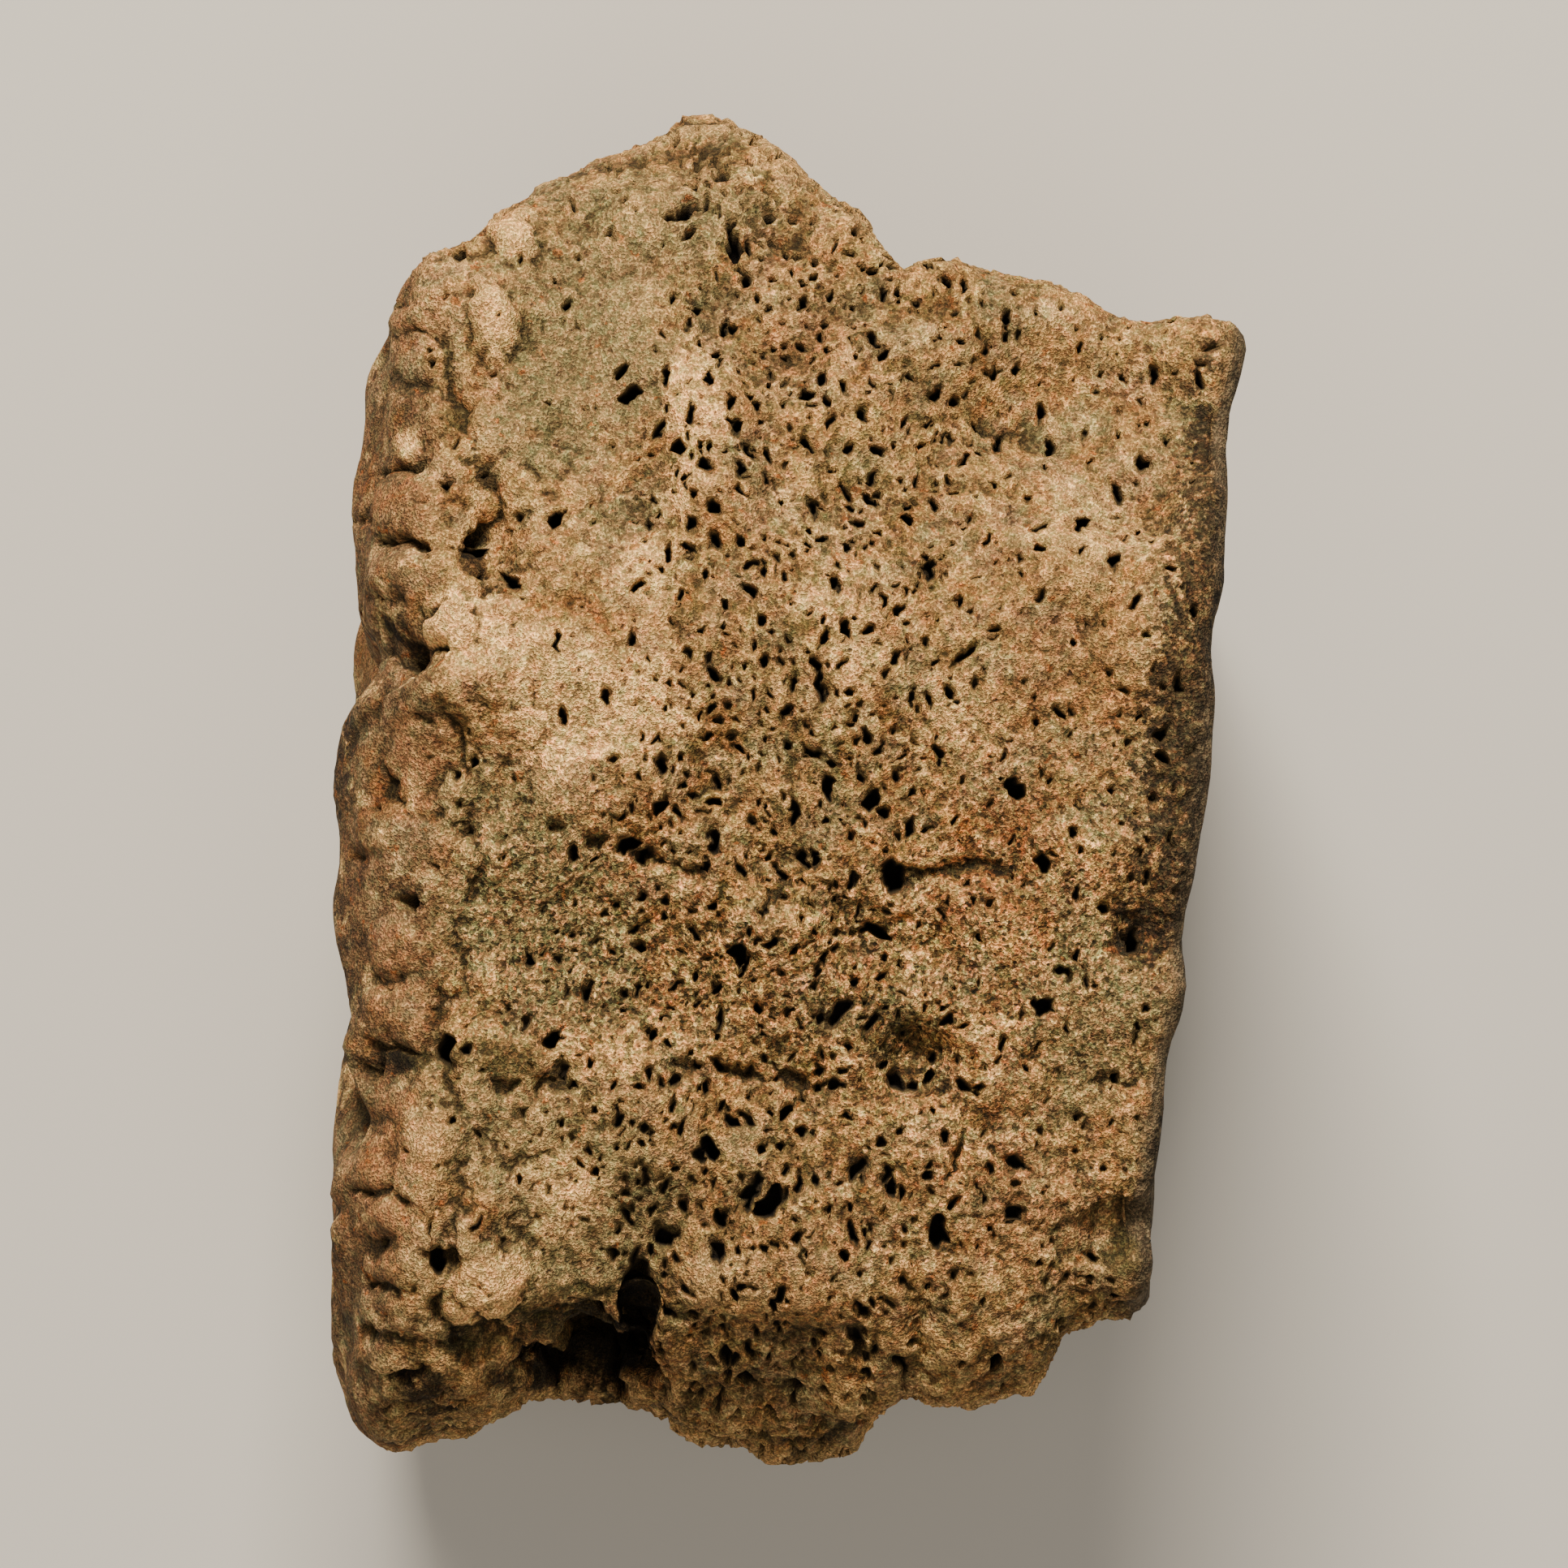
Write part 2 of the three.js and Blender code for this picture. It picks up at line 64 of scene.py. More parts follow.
# ---- The tile's plain form, as the solid has it ----
CENTRE_Z = 25.2
SIDES = [  # which way each edge faces, and its distance from the middle
    (-2, 24.6), (22, 26), (50, 31.5), (142, 30.5), (180, 26), (-134, 33), (-50, 34),
]
CORNER_SHARPNESS = 18  # the power of the mean; the higher, the sharper the corners
TOP_FACES = 100  # which way the broken ends face, in degrees from up
TOP_END = [  # x, and the end's distance from the middle there
    (-21, 18.2), (-17.7, 21.1), (-14.1, 22.8), (-12.3, 24.7), (-7.4, 28.4), (-4.8, 30.3), (-2.6, 29.2),
    (0.5, 25.2), (2.7, 23.5), (5.2, 19.6), (7.4, 20.7), (10.6, 20.5), (13, 19.7), (19.2, 18.7), (21, 17),
]
BOTTOM_FACES = -94
BOTTOM_END = [
    (-21, 26.8), (-17.8, 29.7), (-15, 29.1), (-12.5, 27.7), (-10, 27.2), (-7, 27.7), (-4, 28.7),
    (1, 29.9), (3, 30.5), (5, 27), (8.6, 28), (11, 27.5), (12.7, 24.2), (15, 23.8), (16.4, 22.7),
    (18, 18.3),
]
END_WANDER = 4  # how far the ends' steps wander along x on the resting side
END_WANDER_FROM = (-0.35, 0.9)  # minus the cosine of the angle over which that fades in
END_WANDER_SIZE = 9
UPWARD = (0.3, 0.6)  # the cosine of the angle over which the upward edge's own relief fades in
SEEN = (0.05, 0.25)  # and over which its stains do
SUNK_DOWN = (0.4, 0.72)  # and over which its small pores come to be sunk straight down
OUTER_RIM_X = (-13.8, -16.6, -16, -18.4)  # on the up side, at +Y, on the resting side and at -Y
CREST_X = (-19.7, -17.8, -19.4, -20.1)
SHOULDER_RUN = (8, 8, 7, 3.2)  # how far the shoulder reaches inwards from the rim
OUTER_MIDDLE_X = -19.2
INNER_X = 18.8
INNER_TILT = 0.1
INNER_HOLLOW = 0.8  # how far the inner face is sunk in its middle
INNER_ROUND = (1.1, 1.1, 1.4, 2.2)

# ---- Its ornament ----
RING_SHARE = 0.45  # radius of the ring groove over the rim's
RING_WOBBLE = 0.05
RADIAL_GROOVES = (16, 80, 124, 168, -150, -102, -33)
GROOVE_BEND = 0.09
GROOVE_DEPTH = 2
GROOVE_HALF_WIDTH = 1.5
FIGURE_BULGE = 0.9
BULGE_REACH = 3.5
FURROW_DEPTH = 0.5
RIM_RISE = 0.3  # the bone stands this much higher where the shoulder meets the edge wall
RIM_WIDTH = 0.15  # the share of the wall beside it that rises too
BAND_WEAR = 0.7  # how much shallower the ornament is on the seen shoulder
BAND_WORN_FROM = (0, 0.3)  # the wear fades in over these shares of the shoulder
BAND_EDGE = (0.15, 0.5)  # knobs and creases begin and are full at these shares of the shoulder
FURROWS_ROUND = 40
FURROW_SWAY = 0.1  # how far they wander, in radians
FLANK = (0.72, 0.86)  # the furrows begin and are full at these shares of the rim's radius
ORNAMENT_ENDS = (0.6, 1)  # the ornament fades out over these shares of the shoulder
INNER_SIDE = 10  # past this x a point that isn't on the wall is on the inner face
STRONGEST_STAIN = 1.2
HIDDEN_STAIN = 0.8  # greatest strength of the stains away from the seen edge
HIDDEN_PATCHES = [(9, 1), (3.4, 0.5)]  # size and strength of the noise that spreads the stains elsewhere
HIDDEN_LEVELS = (0.12, 0.6)  # that noise's levels where a stain begins and is full

# ---- Its broken and worn surfaces ----
LUMPS = [(7.5, 1.1, 0.35), (3.2, 0.75, 0.28)]  # size, height on the wall and on the faces
WORN = (0.75, 0.97, 0.2)  # the resting side: where its wear begins and is full, and the relief that is left
DENTS = [  # middle x, y, half sizes x, y and depth
    (-9.1, -28.9, 2.9, 2.3, 8), (-6.5, -25.2, 0.5, 1.5, 1.6), (-14, -19, 2.2, 2.6, -0.9),
    (12.5, 18.5, 6.5, 3.6, 2.4), (-3.6, 17, 3.4, 6, -0.8), (6.2, -7.6, 6.5, 2.6, 0.9),
    (-5.5, -8, 4.5, 3, 0.7), (5.9, -12.4, 1.2, 1.5, 1.6), (-13.2, 11, 1.2, 2.3, 1.5),
    (-10.5, 4.2, 3.4, 2.4, -0.8), (15.7, -7, 1.2, 1.1, 0.3), (-0.6, -3.7, 1.2, 1.1, 0.6),
    (1.5, 9, 5.5, 6, -0.5), (-13.7, 4.2, 1.6, 1.1, -0.8), (15.2, -20.8, 2, 1.1, 1.2),
    (6.3, -24.6, 0.9, 2.2, 1.7),
]
CRACKS = [  # points along each, its half width and depth
    ([(-10.6, -2.2), (-6.6, -2.9), (-3.2, -4.9), (1.4, -5.4), (5, -4.4), (8.6, -3.6), (13.4, -5)], 0.6, 0.7),
    ([(-13, -13.3), (-9.6, -13.6), (-4.6, -12.6), (-0.6, -12.9), (1.6, -14)], 0.55, 0.7),
    ([(11.4, -12.4), (14.2, -13.2), (17.2, -13.5)], 0.5, 0.6),
    ([(-16.2, 22.6), (-14.8, 17.5), (-13.4, 13), (-13.6, 8.6), (-15.4, 5.4), (-14.2, 0.5), (-14, -5),
      (-15.4, -11), (-14.2, -16.5), (-14.8, -22.6), (-12.4, -25.4)], 0.55, 0.5),
]
LARGE_PORES = [  # x, y, radius and depth
    (-5.1, 15.2, 0.7, 2.6), (-13.9, 10.4, 0.55, 2.6), (-17.3, 5.7, 0.55, 1.8), (5.4, 11.8, 0.6, 2),
    (2, 0, 0.55, 2), (4.1, -0.8, 0.55, 2), (4.9, -4.1, 0.85, 3), (-6.8, -2.8, 0.6, 2.4),
    (-14.9, -11.9, 0.8, 3), (-10.2, -11.7, 0.55, 2.6), (6.4, -13.2, 0.55, 2.6), (-15.3, -21.2, 0.6, 2),
    (4.1, -6.9, 0.6, 2.4), (-1.9, -7.5, 0.6, 2.4), (11.7, -10.2, 0.6, 2), (15.7, -6.9, 0.5, 1.6),
    (-5.4, -0.8, 0.65, 1.6), (-10.4, 11.8, 0.55, 2.2), (-7, 17.7, 0.6, 2.2), (-4.8, 26, 0.65, 2),
    (-2.9, 28, 0.55, 2.4), (-2.3, 24.8, 0.6, 2), (7.1, -20, 0.6, 2.6), (9.7, -26.2, 0.55, 2.2),
    (-17.1, -5.4, 0.6, 1.8), (13.4, 11.8, 0.55, 1.8), (10.3, -0.2, 0.6, 2), (11.3, -3.6, 0.55, 2),
    (-3.3, -16.5, 0.7, 2.8), (-0.6, -18.5, 0.6, 2.6), (-3, -19.4, 0.55, 2.4),
]
PORE_SHRINK = 0.57  # the wells narrow downwards, so they look this much narrower than they are
FOLLICLES = (0, 1, 3, 5, 6)  # the radial grooves with a hair pit where they meet the ring groove
FOLLICLE = (1.15, 2.6)  # radius and depth
FORAMINA = [(7, 4), (-9, -3), (2, -12)]  # blood vessel openings of the inner face: y, z above the middle
FORAMEN = (0.9, 3)  # radius and depth
PORE_WALL = (0.55, 1.15)  # a large pore is full within the first share of its radius and ends at the second
PORE_LENGTH = 0.7  # how much longer than wide the longest is
LARGE_FROM = (0.2, 0.6)  # the shares of the shoulder over which the large pores come to full depth
PIT_WALL = (0.45, 1.1)  # the same as PORE_WALL, for the round pits
RAGGED = [(2.3, 0.5), (0.8, 0.26), (0.33, 0.12)]  # size and reach of the wander of a pore's or crack's edge
HEALED = (0.15, -0.2, 0.25, 1.7)  # depth left where a crack has healed, the noise's levels and its size

# ---- The sponge: layers of small pores, wrapped round a cylinder ----
PORE_WRAP_RADIUS = 27.5  # of that cylinder
SPONGE_X = (-8.5, -3.5, 5.5, 11)  # begins, full, thins and is thinnest
SPONGE_THINS = 0.8  # the share that is gone where it is thinnest
SPONGE_SPREAD = (3, 5)  # how far its edges wander, and the size of that wander
SPONGE_WIDENS = (-2, -8, 3)  # below the first y it widens, in full below the second, by the last value
WIDE_PORES = dict(cell=1.2, salt=100, radii=(0.09, 0.18), stretch=2.8)
FINE_PORES = dict(cell=0.8, salt=200, radii=(0.08, 0.14), stretch=2)
TORN_PORES = dict(cell=2.3, salt=400, radii=(0.18, 0.38), stretch=1.8)  # where the sponge has fallen out
WIDE_SHARE = (0.06, 0.7)  # the share of cells with a pore outside the sponge, and how much more inside
FINE_SHARE = (0.14, 0.66)
TORN_SHARE = 0.5
TORN_BELOW = (-8, -13)  # they begin below the first y and are as many as they get below the second
TORN_ENDS = (12, 14)  # they thin out and end at these x
WIDE_DEPTH = 1.8
FINE_DEPTH = 0.8
TORN_DEPTH = 1.7
MIDDLES = (0.08, 0.84)  # the least share of its cell at which a pore's middle lies, and the range
PORE_TURN = 1.2  # the range of its own lean, in radians
MOSTLY_SMALL = 1.5  # the higher this power, the fewer pores are large
SMALLEST_WELL = 0.5  # depth of the smallest pores over that of the largest
WELL_WALL = (0.6, 1.15)  # a well is full within the first share of its radius and ends at the second
DISH_WALL = (0.9, 2)  # the same for the dish round it
LIP = (2.2, 0.6)  # where the lip stands and its half width, over the pore's radius
FINE_LIPS = 0.7  # height of the fine pores' lips over the wide ones'
LEAN_WANDER = (0.5, 9)  # how much the pores' lean wanders, and the size of that wander
PORE_TEAR = 0.85  # how much of the ragged wander the small pores take
PORE_DISH = 0.24  # each pore lies in a soft dish, this share of its depth
LIP_HEIGHT = 0.1  # of the raised lips round the small pores
LEANS = [  # x, y, half sizes, and the lean of the pores there, in radians
    (-0.2, 12.5, 5, 5, -0.75), (8, 18, 6, 5, 0.5), (-3, -16, 4, 5, 0.45),
]

# ---- Crumbs, knobs, ledges and creases of the seen edge ----
GRIT = [(1.7, 0.14), (0.75, 0.13), (0.34, 0.1)]  # size and height
GRIT_LEFT = (0.14, 0.1)  # the share of that height on the outer face and on the inner one
INNER_GRIT = (0.1, 0.6)  # it fades in over these shares of the inner rim
FOLD_LEVEL = 0.6  # taken off a folded noise, so that its lumps and its creases balance
SMOOTHED = 0.75  # how much lower the crumbs are in the smooth places
SPONGE_SMOOTHED = 0.45  # in the sponge
BELT_SMOOTHED = 0.15  # and in the gritty belt
WALL_FROM = (0.55, 1)  # the wall's own relief and pores fade in over these shares of shoulder and inner rim
SMOOTH = [  # x, y, half sizes and how much smoother
    (-8.6, 21, 3.6, 4.6, 0.9), (-9.2, 3.2, 3.8, 2, 0.7), (12.5, 18, 8, 4.4, 0.7), (-4, 17, 2, 4, 0.5),
    (11, 10, 6, 5, 0.35),
]
KNOBS = [  # x, y, half sizes and height
    (-10.1, -25.6, 0.85, 0.8, 0.8), (-6.6, -27.6, 0.8, 0.7, 0.5), (-15, 6.9, 1.2, 1.05, 0.9),
    (-13.4, -22.6, 1.8, 2.2, 0.8), (-11.8, 2.6, 1.1, 1, 0.35), (-14.6, -0.4, 1, 1.05, 0.6),
    (-12.3, 24.6, 1.3, 1.2, 0.7), (-13.2, 20.6, 1, 1.5, 0.7), (-12.2, 13.2, 1.5, 1.6, 0.5),
    (-13.6, -3.4, 1.4, 1.1, 0.4), (-13, -8.6, 1.3, 1.5, 0.35), (-11.4, -15.8, 1.6, 1.1, 0.4),
    (-15.6, 22.9, 1.3, 1, 0.25), (-16.1, 21, 1.9, 0.95, 0.22), (-16.6, 19.3, 1.7, 1, 0.25),
    (-16.8, 16.8, 1.6, 1.3, 0.45), (-17.3, 15.4, 0.7, 0.6, 0.25), (-16.9, 12.8, 2.1, 1.7, 0.48),
    (-16.9, 9.5, 2.1, 1.3, 0.41), (-16.8, 1.2, 0.95, 0.9, 0.25), (-18.3, -1.9, 1.3, 1.2, 0.34),
    (-17.6, -7.4, 1.7, 1.4, 0.36), (-17.5, -9.9, 1.8, 1.2, 0.36), (-18.6, -16.5, 1.7, 1.7, 0.45),
    (-16, -16.2, 1.5, 1.6, 0.29), (-18.3, -19.7, 1.5, 1.1, 0.36), (-16.1, -18.2, 0.8, 0.7, 0.22),
    (-18.1, -23.5, 1.6, 1, 0.36), (-17.9, -21.9, 1.4, 0.7, 0.29), (-18.2, -25.8, 1.5, 0.8, 0.34),
]
LEDGES = [  # x, y, half sizes and height
    (2, -7, 7, 4.5, 0.18), (9, -19, 7, 6, 0.16), (-8, -10, 3, 2, 0.15), (-11, -27, 6, 2, 0.4),
]
LEDGE_SIZE = (2.6, 0.85)  # length along x and pitch along y
LEDGE_BEND = (2.2, 3.1)  # how many pitches their course wanders, and the size of that wander
LEDGE_LIMITS = (0.03, 0.6)  # their least and greatest height
KNOB_ROUND = 0.7  # the power that rounds a knob's dome
ARCS_END = (0.75, 1)  # the growth arcs fade out over these shares of their reach, and of the shoulder
CREASE_DEPTH = 0.9  # the share of their listed depth that the creases take
CREASES = [  # points along each, its half width and depth
    ([(-20.4, -13.1), (-18, -12.6), (-16.6, -12.5)], 0.75, 1.1), ([(-20.2, 6.8), (-17, 6.5)], 0.8, 0.6),
    ([(-17.3, 18.4), (-16.6, 18), (-15.9, 17.8)], 0.22, 0.55),
    ([(-18.6, 14.1), (-17.6, 14.5), (-16.4, 14.8)], 0.26, 0.7), ([(-18, 10.8), (-16.3, 10.8)], 0.24, 0.9),
    ([(-17.4, 21.9), (-15.4, 22)], 0.25, 0.3), ([(-17.6, 20.2), (-15.6, 20.2)], 0.25, 0.35),
    ([(-18.4, 8.3), (-16.8, 8)], 0.3, 0.35), ([(-19, 5.6), (-17.6, 5.5), (-16.8, 5.9)], 0.55, 0.7),
    ([(-16.2, 3.2), (-15.5, 2.9)], 0.25, 0.5), ([(-18.2, 0.6), (-17.9, -0.4), (-17.2, -1.2)], 0.25, 0.5),
    ([(-18.8, -8.7), (-17.7, -8.7)], 0.25, 0.9),
    ([(-19.4, -11.9), (-17.6, -11.8), (-16.8, -12.2)], 0.35, 1),
    ([(-19.3, -13.4), (-18.3, -13), (-16.9, -13.4)], 0.4, 1.2),
    ([(-19.4, -18.5), (-18.4, -18.7), (-17.8, -18.2)], 0.24, 0.9),
    ([(-17.2, -18.6), (-16.4, -18.8)], 0.22, 0.5), ([(-18.6, -21.2), (-17.8, -20.7)], 0.22, 0.5),
    ([(-19, -22.6), (-17.4, -22.8)], 0.2, 0.35), ([(-19.2, -24.5), (-16.8, -24.6)], 0.3, 0.6),
    ([(-19, -26.7), (-17.4, -27)], 0.3, 0.7), ([(-18.8, -27.6), (-17.4, -28.1)], 0.25, 0.5),
    ([(-17, -26.9), (-15.8, -26.8)], 0.5, 1), ([(-15.6, -22.9), (-15.2, -24.6), (-14.6, -25.4)], 0.35, 1),
    ([(-15.7, -21.1), (-14.6, -21)], 0.3, 1), ([(-13.9, 11.2), (-13.8, 8.7)], 0.34, 1.8),
    ([(-14.7, 13.4), (-14.2, 11.4)], 0.45, 0.5), ([(15.4, -9.9), (16, -12.2)], 0.16, 0.5),
    ([(8.2, -14.2), (7.6, -17.4), (7, -18.6)], 0.22, 0.9), ([(-9.8, -17.6), (-9.5, -20.6)], 0.14, 0.4),
    ([(6, -0.6), (7.2, -5.1), (7.6, -5.6)], 0.14, 0.7),
    ([(6.4, 14.4), (9, 16.3), (12.7, 15.9)], 0.5, 0.4), ([(3.3, -24.2), (3.6, -27.4)], 0.35, 1.4),
]
ARCS = dict(x=-16.8, y=1.2, pitch=1.05, height=0.07, reach=4.2)  # the growth ridges of the middle figure
SLITS = [  # the black gaps of the cavity: points along each, its half width and depth
    ([(-6.5, -22.3), (-6.7, -24), (-6.1, -25.2)], 0.34, 3.6),
    ([(-9.4, -25.5), (-7.7, -25.7), (-6.2, -26.1)], 0.42, 3), ([(-7.9, -26.4), (-7.2, -27.2)], 0.4, 2.5),
    ([(-9.3, -24.3), (-8.7, -24.4)], 0.3, 0.7),
    ([(-11.6, -25.6), (-10.8, -26.4), (-10.2, -26.7)], 0.35, 2),
]
CAVITY = (-8.5, -26, 2.4, 1.6, 1.5)  # the lower hollow's steeper heart
OUTER_PITS = dict(cell=1.7, salt=300, radii=(0.1, 0.24), stretch=1.4)
PIT_SHARE = 0.25  # the share of cells with a pit
PIT_DEPTH = 0.5

# ---- What the material reads from the relief ----
BLACK_DEPTH = 1.1  # a pore this deep counts as 1
NEAR_BLUR = 14  # passes over which a point's height is compared with its neighbours'
FAR_BLUR = 70
FAR_SHARE = 0.4  # how much the farther neighbours count, over the near ones
FALLEN_SHARE = 0.3  # and the steep hollows of the cavity
CREVICE_DEPTH = 0.36  # the lowering below its neighbours that takes the crevice field from 0 to 1
FACE_ENDS = (0.8, 1)  # where the listed stains begin, over the outer face
OUTER_ENDS = (0.7, 1)  # where the outer face's colour ends, over the shoulder
INNER_ENDS = (0.5, 1)  # and the inner face's, over its rim

# ---- Stains, among them painted shade and painted highlight: middle x, y, half sizes and strength on the seen edge ----
STAINS = {
    # pale bone, and painted highlight on the tops of the knobs
    "cream_and_highlight": [
        (-17.2, 0.4, 1.4, 2.8, 0.5), (-9.4, -18.4, 3.6, 3.8, 0.56), (-8.9, 2.9, 4.8, 2.4, 1.3),
        (-4, 17.4, 2.1, 5, 0.75), (-6.4, 9.4, 2.2, 3.6, 0.75), (-15, 6.9, 1.4, 1.2, 1.4),
        (-12.3, 24.9, 1.3, 1.4, 1), (-13.2, 20.6, 1, 1.7, 0.9), (-13.4, -22.8, 1.9, 2.1, 0.8),
        (-8.5, -12.4, 2.2, 1.6, 0.8), (14, 12, 4.6, 3.4, 0.6), (9, -6.6, 1.3, 1.6, 0.8),
        (2.6, 5.8, 4.4, 3, 0.5), (8, 2.4, 3.6, 2.8, 0.5), (17.4, 8.4, 1.2, 2, 0.5),
        (12, -27, 2, 1.6, 0.5), (-17.2, 15.4, 0.7, 0.8, 0.8), (-16.7, 9.4, 1.4, 0.8, 0.5),
        (-12.2, 6, 2.6, 1.6, 0.8), (-18.2, -2.6, 0.7, 0.5, 0.7), (3, 9.6, 3, 2, 0.45),
    ],
    "sage": [
        (-8.7, 21.2, 4.4, 5.6, 1.3), (-10.8, 16.9, 2.4, 2.4, 1.2), (-9.1, -19.1, 4.8, 5.4, 1.2),
        (-10, -6.2, 4.8, 6.2, 0.8), (14.4, -8.8, 3.2, 3.6, 1.1), (17.7, 15, 2, 4.4, 0.8),
        (3.7, 14.6, 1.8, 1.6, 0.6), (-14.6, -0.4, 1.1, 1.1, 1.4), (-10.4, 9.2, 1.1, 1.7, 0.9),
        (13.5, -14, 4.5, 2.4, 0.8), (-4.5, 26.5, 3, 3, 0.9), (17, 3, 2, 4, 0.6), (2.5, -24.5, 3, 3, 0.5),
        (-14.2, -15, 1.8, 3, 0.9), (-12, -4.6, 3, 5, 0.8), (-14.8, 19.5, 0.9, 3, 0.7),
        (10, 20, 3, 1.4, 0.5),
    ],
    "moss": [
        (-11.3, -24.4, 1.3, 0.7, 1.1), (-8.4, -23, 2, 0.7, 1), (-10.1, -25.6, 0.9, 0.8, 0.8),
        (-18.2, -24.6, 1.7, 0.5, 0.8), (-14.6, -25.2, 1.2, 0.9, 1.1), (4.8, -11.3, 2.2, 1.9, 0.8),
        (-12.6, -12.2, 3.4, 0.9, 0.8), (4, -4.1, 1.1, 1, 0.6), (12.5, -25.8, 3.2, 2.2, 0.6),
        (-5.2, -24.2, 0.8, 1.6, 0.8), (-14, -15.5, 1.6, 0.8, 0.6), (-14.9, 16.6, 1.2, 0.9, 0.9),
        (-17.4, -12.4, 1.6, 0.5, 0.8), (-5.2, 22, 1, 1.4, 0.4), (-10.6, 16.6, 2.2, 1.8, 0.5),
        (-9.6, -7, 2.6, 1, 0.5), (-11.4, -3.6, 1, 0.8, 0.6), (-6.6, 26.6, 1, 1, 0.5),
        (16, -21.4, 2, 1.5, 1.1),
    ],
    "rust": [
        (10.6, -1.7, 2.8, 2.6, 0.75), (8.4, -5.1, 2.8, 2, 1), (9.3, -14.9, 0.9, 0.8, 1.2),
        (9.7, -9.9, 0.8, 0.6, 1), (9.9, -13.5, 0.7, 0.5, 1), (15.6, -6.9, 1.4, 1.1, 1),
        (-14.3, 17.7, 1, 0.8, 1.1), (-11.3, 15.7, 0.7, 0.8, 0.9), (-17.6, 13.5, 2, 3.4, 0.6),
        (-18.5, -16.8, 1.2, 1.4, 0.6), (-13.5, -19.4, 0.8, 1.1, 1), (-12.2, 2.4, 1, 1, 0.7),
        (-5.4, -26.4, 1.3, 1.6, 1), (-19.1, 1.3, 0.4, 0.8, 1), (-17.8, -0.1, 0.6, 1, 1),
        (18.8, -2, 0.8, 2.4, 0.8), (-3.2, -14, 2, 2.4, 0.6), (2.6, -17.4, 2.6, 2.4, 0.55),
        (-12.8, 13.4, 0.9, 1, 0.7), (-18.2, -22.3, 1, 0.4, 0.7),
    ],
    "pink": [
        (12.4, 6, 4.6, 6.4, 0.6), (-17.4, -18, 2, 5, 1), (-12.8, -22.6, 1.6, 1.8, 0.8),
        (1, -22, 5, 4, 0.6), (-16.8, 12.6, 2, 1.8, 0.9), (11, -19, 4, 4, 0.8), (1.5, 23, 3, 4, 0.5),
        (-16, 21, 2, 2.4, 0.8), (-17.4, -8, 1.6, 3, 0.7), (-16.6, 1, 2, 3, 1), (1, 20, 3, 2, 0.5),
    ],
    # dark growth in flecks, and painted shade in long strips down both rims, where the tile turns away from
    # the light
    "soot_and_rim_shade": [
        (20.7, -8, 1.1, 13, 0.8), (19.4, 7, 2.4, 13, 1.3), (16.6, -6.2, 2.4, 2.6, 0.8),
        (17.2, 0, 2.6, 5, 0.7), (-2, -3.4, 9, 1.6, 0.3), (-20.8, 4, 1.7, 18, 1),
        (-20.8, -22, 1.2, 9, 0.5),
    ],
    # dirt, and painted shade where the cavity, its slits, the deep pits and the creases lie in shadow
    "dirt_and_shade": [
        (-8, -26.4, 2.2, 1.3, 1), (-6.8, -24.2, 0.8, 1.5, 1.2), (-11.2, -26.4, 0.7, 1, 0.9),
        (-8.6, -28.9, 3.6, 1.2, 0.75), (-17.9, 6.7, 1.2, 1.5, 0.75), (-13.9, 10.2, 0.6, 1.5, 1),
        (-18, -12.6, 1.7, 0.9, 0.8), (-14.5, 12.8, 0.7, 1, 0.5), (-16.4, -27, 1.2, 0.9, 0.9),
        (-12.6, -26.6, 2, 1, 0.7), (-14.9, -25, 0.6, 1, 0.9), (5.6, -12.8, 1.3, 0.9, 0.5),
        (-5.4, 15, 0.9, 1, 0.4), (-15.6, -28.3, 2, 0.8, 0.6),
    ],
}

TINTS = [  # size, the noise's levels where a tint begins and is full, its share and its colour
    (2.3, 0.55, 0.62, 0.35, "#a5682f"), (2.9, 0.53, 0.61, 0.6, "#857b5a"),
    (1.7, 0.55, 0.64, 0.7, "#eec88c"), (1.9, 0.54, 0.59, 0.5, "#aa8a66"),
]
HUES = [  # size, and the factors of its greener and its redder patches
    (2.1, (0.94, 1.01, 0.99), (1.05, 0.99, 0.98)), (0.5, (0.88, 1.02, 0.92), (1.16, 0.97, 0.93)),
]
GRAINS = [  # size, finer detail, and the factors of its dark and its pale grains
    (0.4, 2, (0.85, 0.84, 0.83), (1.1, 1.09, 1.07)), (0.13, 1, (0.5, 0.49, 0.48), (1.44, 1.43, 1.41)),
]
GRITTY = [  # x, y, half sizes and strength
    (-11, -6, 8, 7, 1), (11, -5, 9, 8, 1), (0, -9, 8, 4, 0.8), (19, 5, 2, 14, 0.8), (8, -17, 8, 6, 0.6),
]
GRIT_SIZE = 0.17  # angular grains, each of its own brightness and its own hue between these factors
GRIT_SHADES = ((0.16, 0.17, 0.17), (1.95, 1.95, 2.02))
GRIT_HUES = ((0.82, 1.03, 0.92), (1.3, 0.955, 0.87))
GRIT_ELSEWHERE = 0.3  # its strength outside the gritty belt
STRUTS = (0.62, 1.5, 0.36, 0.48)  # size and stretch of the hollows between struts, and their noise's levels
STRUT_NOISE = (1.5, 0.5)  # detail and roughness
STRUT_SHARE = (0.25, 0.6)  # their strength outside the sponge, and how much more inside
STRUT_TINT = (0.33, 0.38, 0.31)  # factors that darken the hollows olive, as painted shade
BROAD = (3.2, 4, 0.38, 0.62)  # noises: size, detail, and the levels that become 0 and 1
MOTTLE = (1.1, 5, 0.38, 0.62)
FLECK = (0.6, 4, 0.44, 0.56)
DARK_GRAINS = (0.5, 3, 0.62, 0.68)
RUSTY_GRAINS = (0.8, 3, 0.63, 0.68)
TINT_DETAIL = 4
HUE_NOISE = (5, 0.4, 0.6, 0.75)  # detail, levels and roughness
GRAIN_NOISE = (0.38, 0.62, 0.7)  # levels and roughness
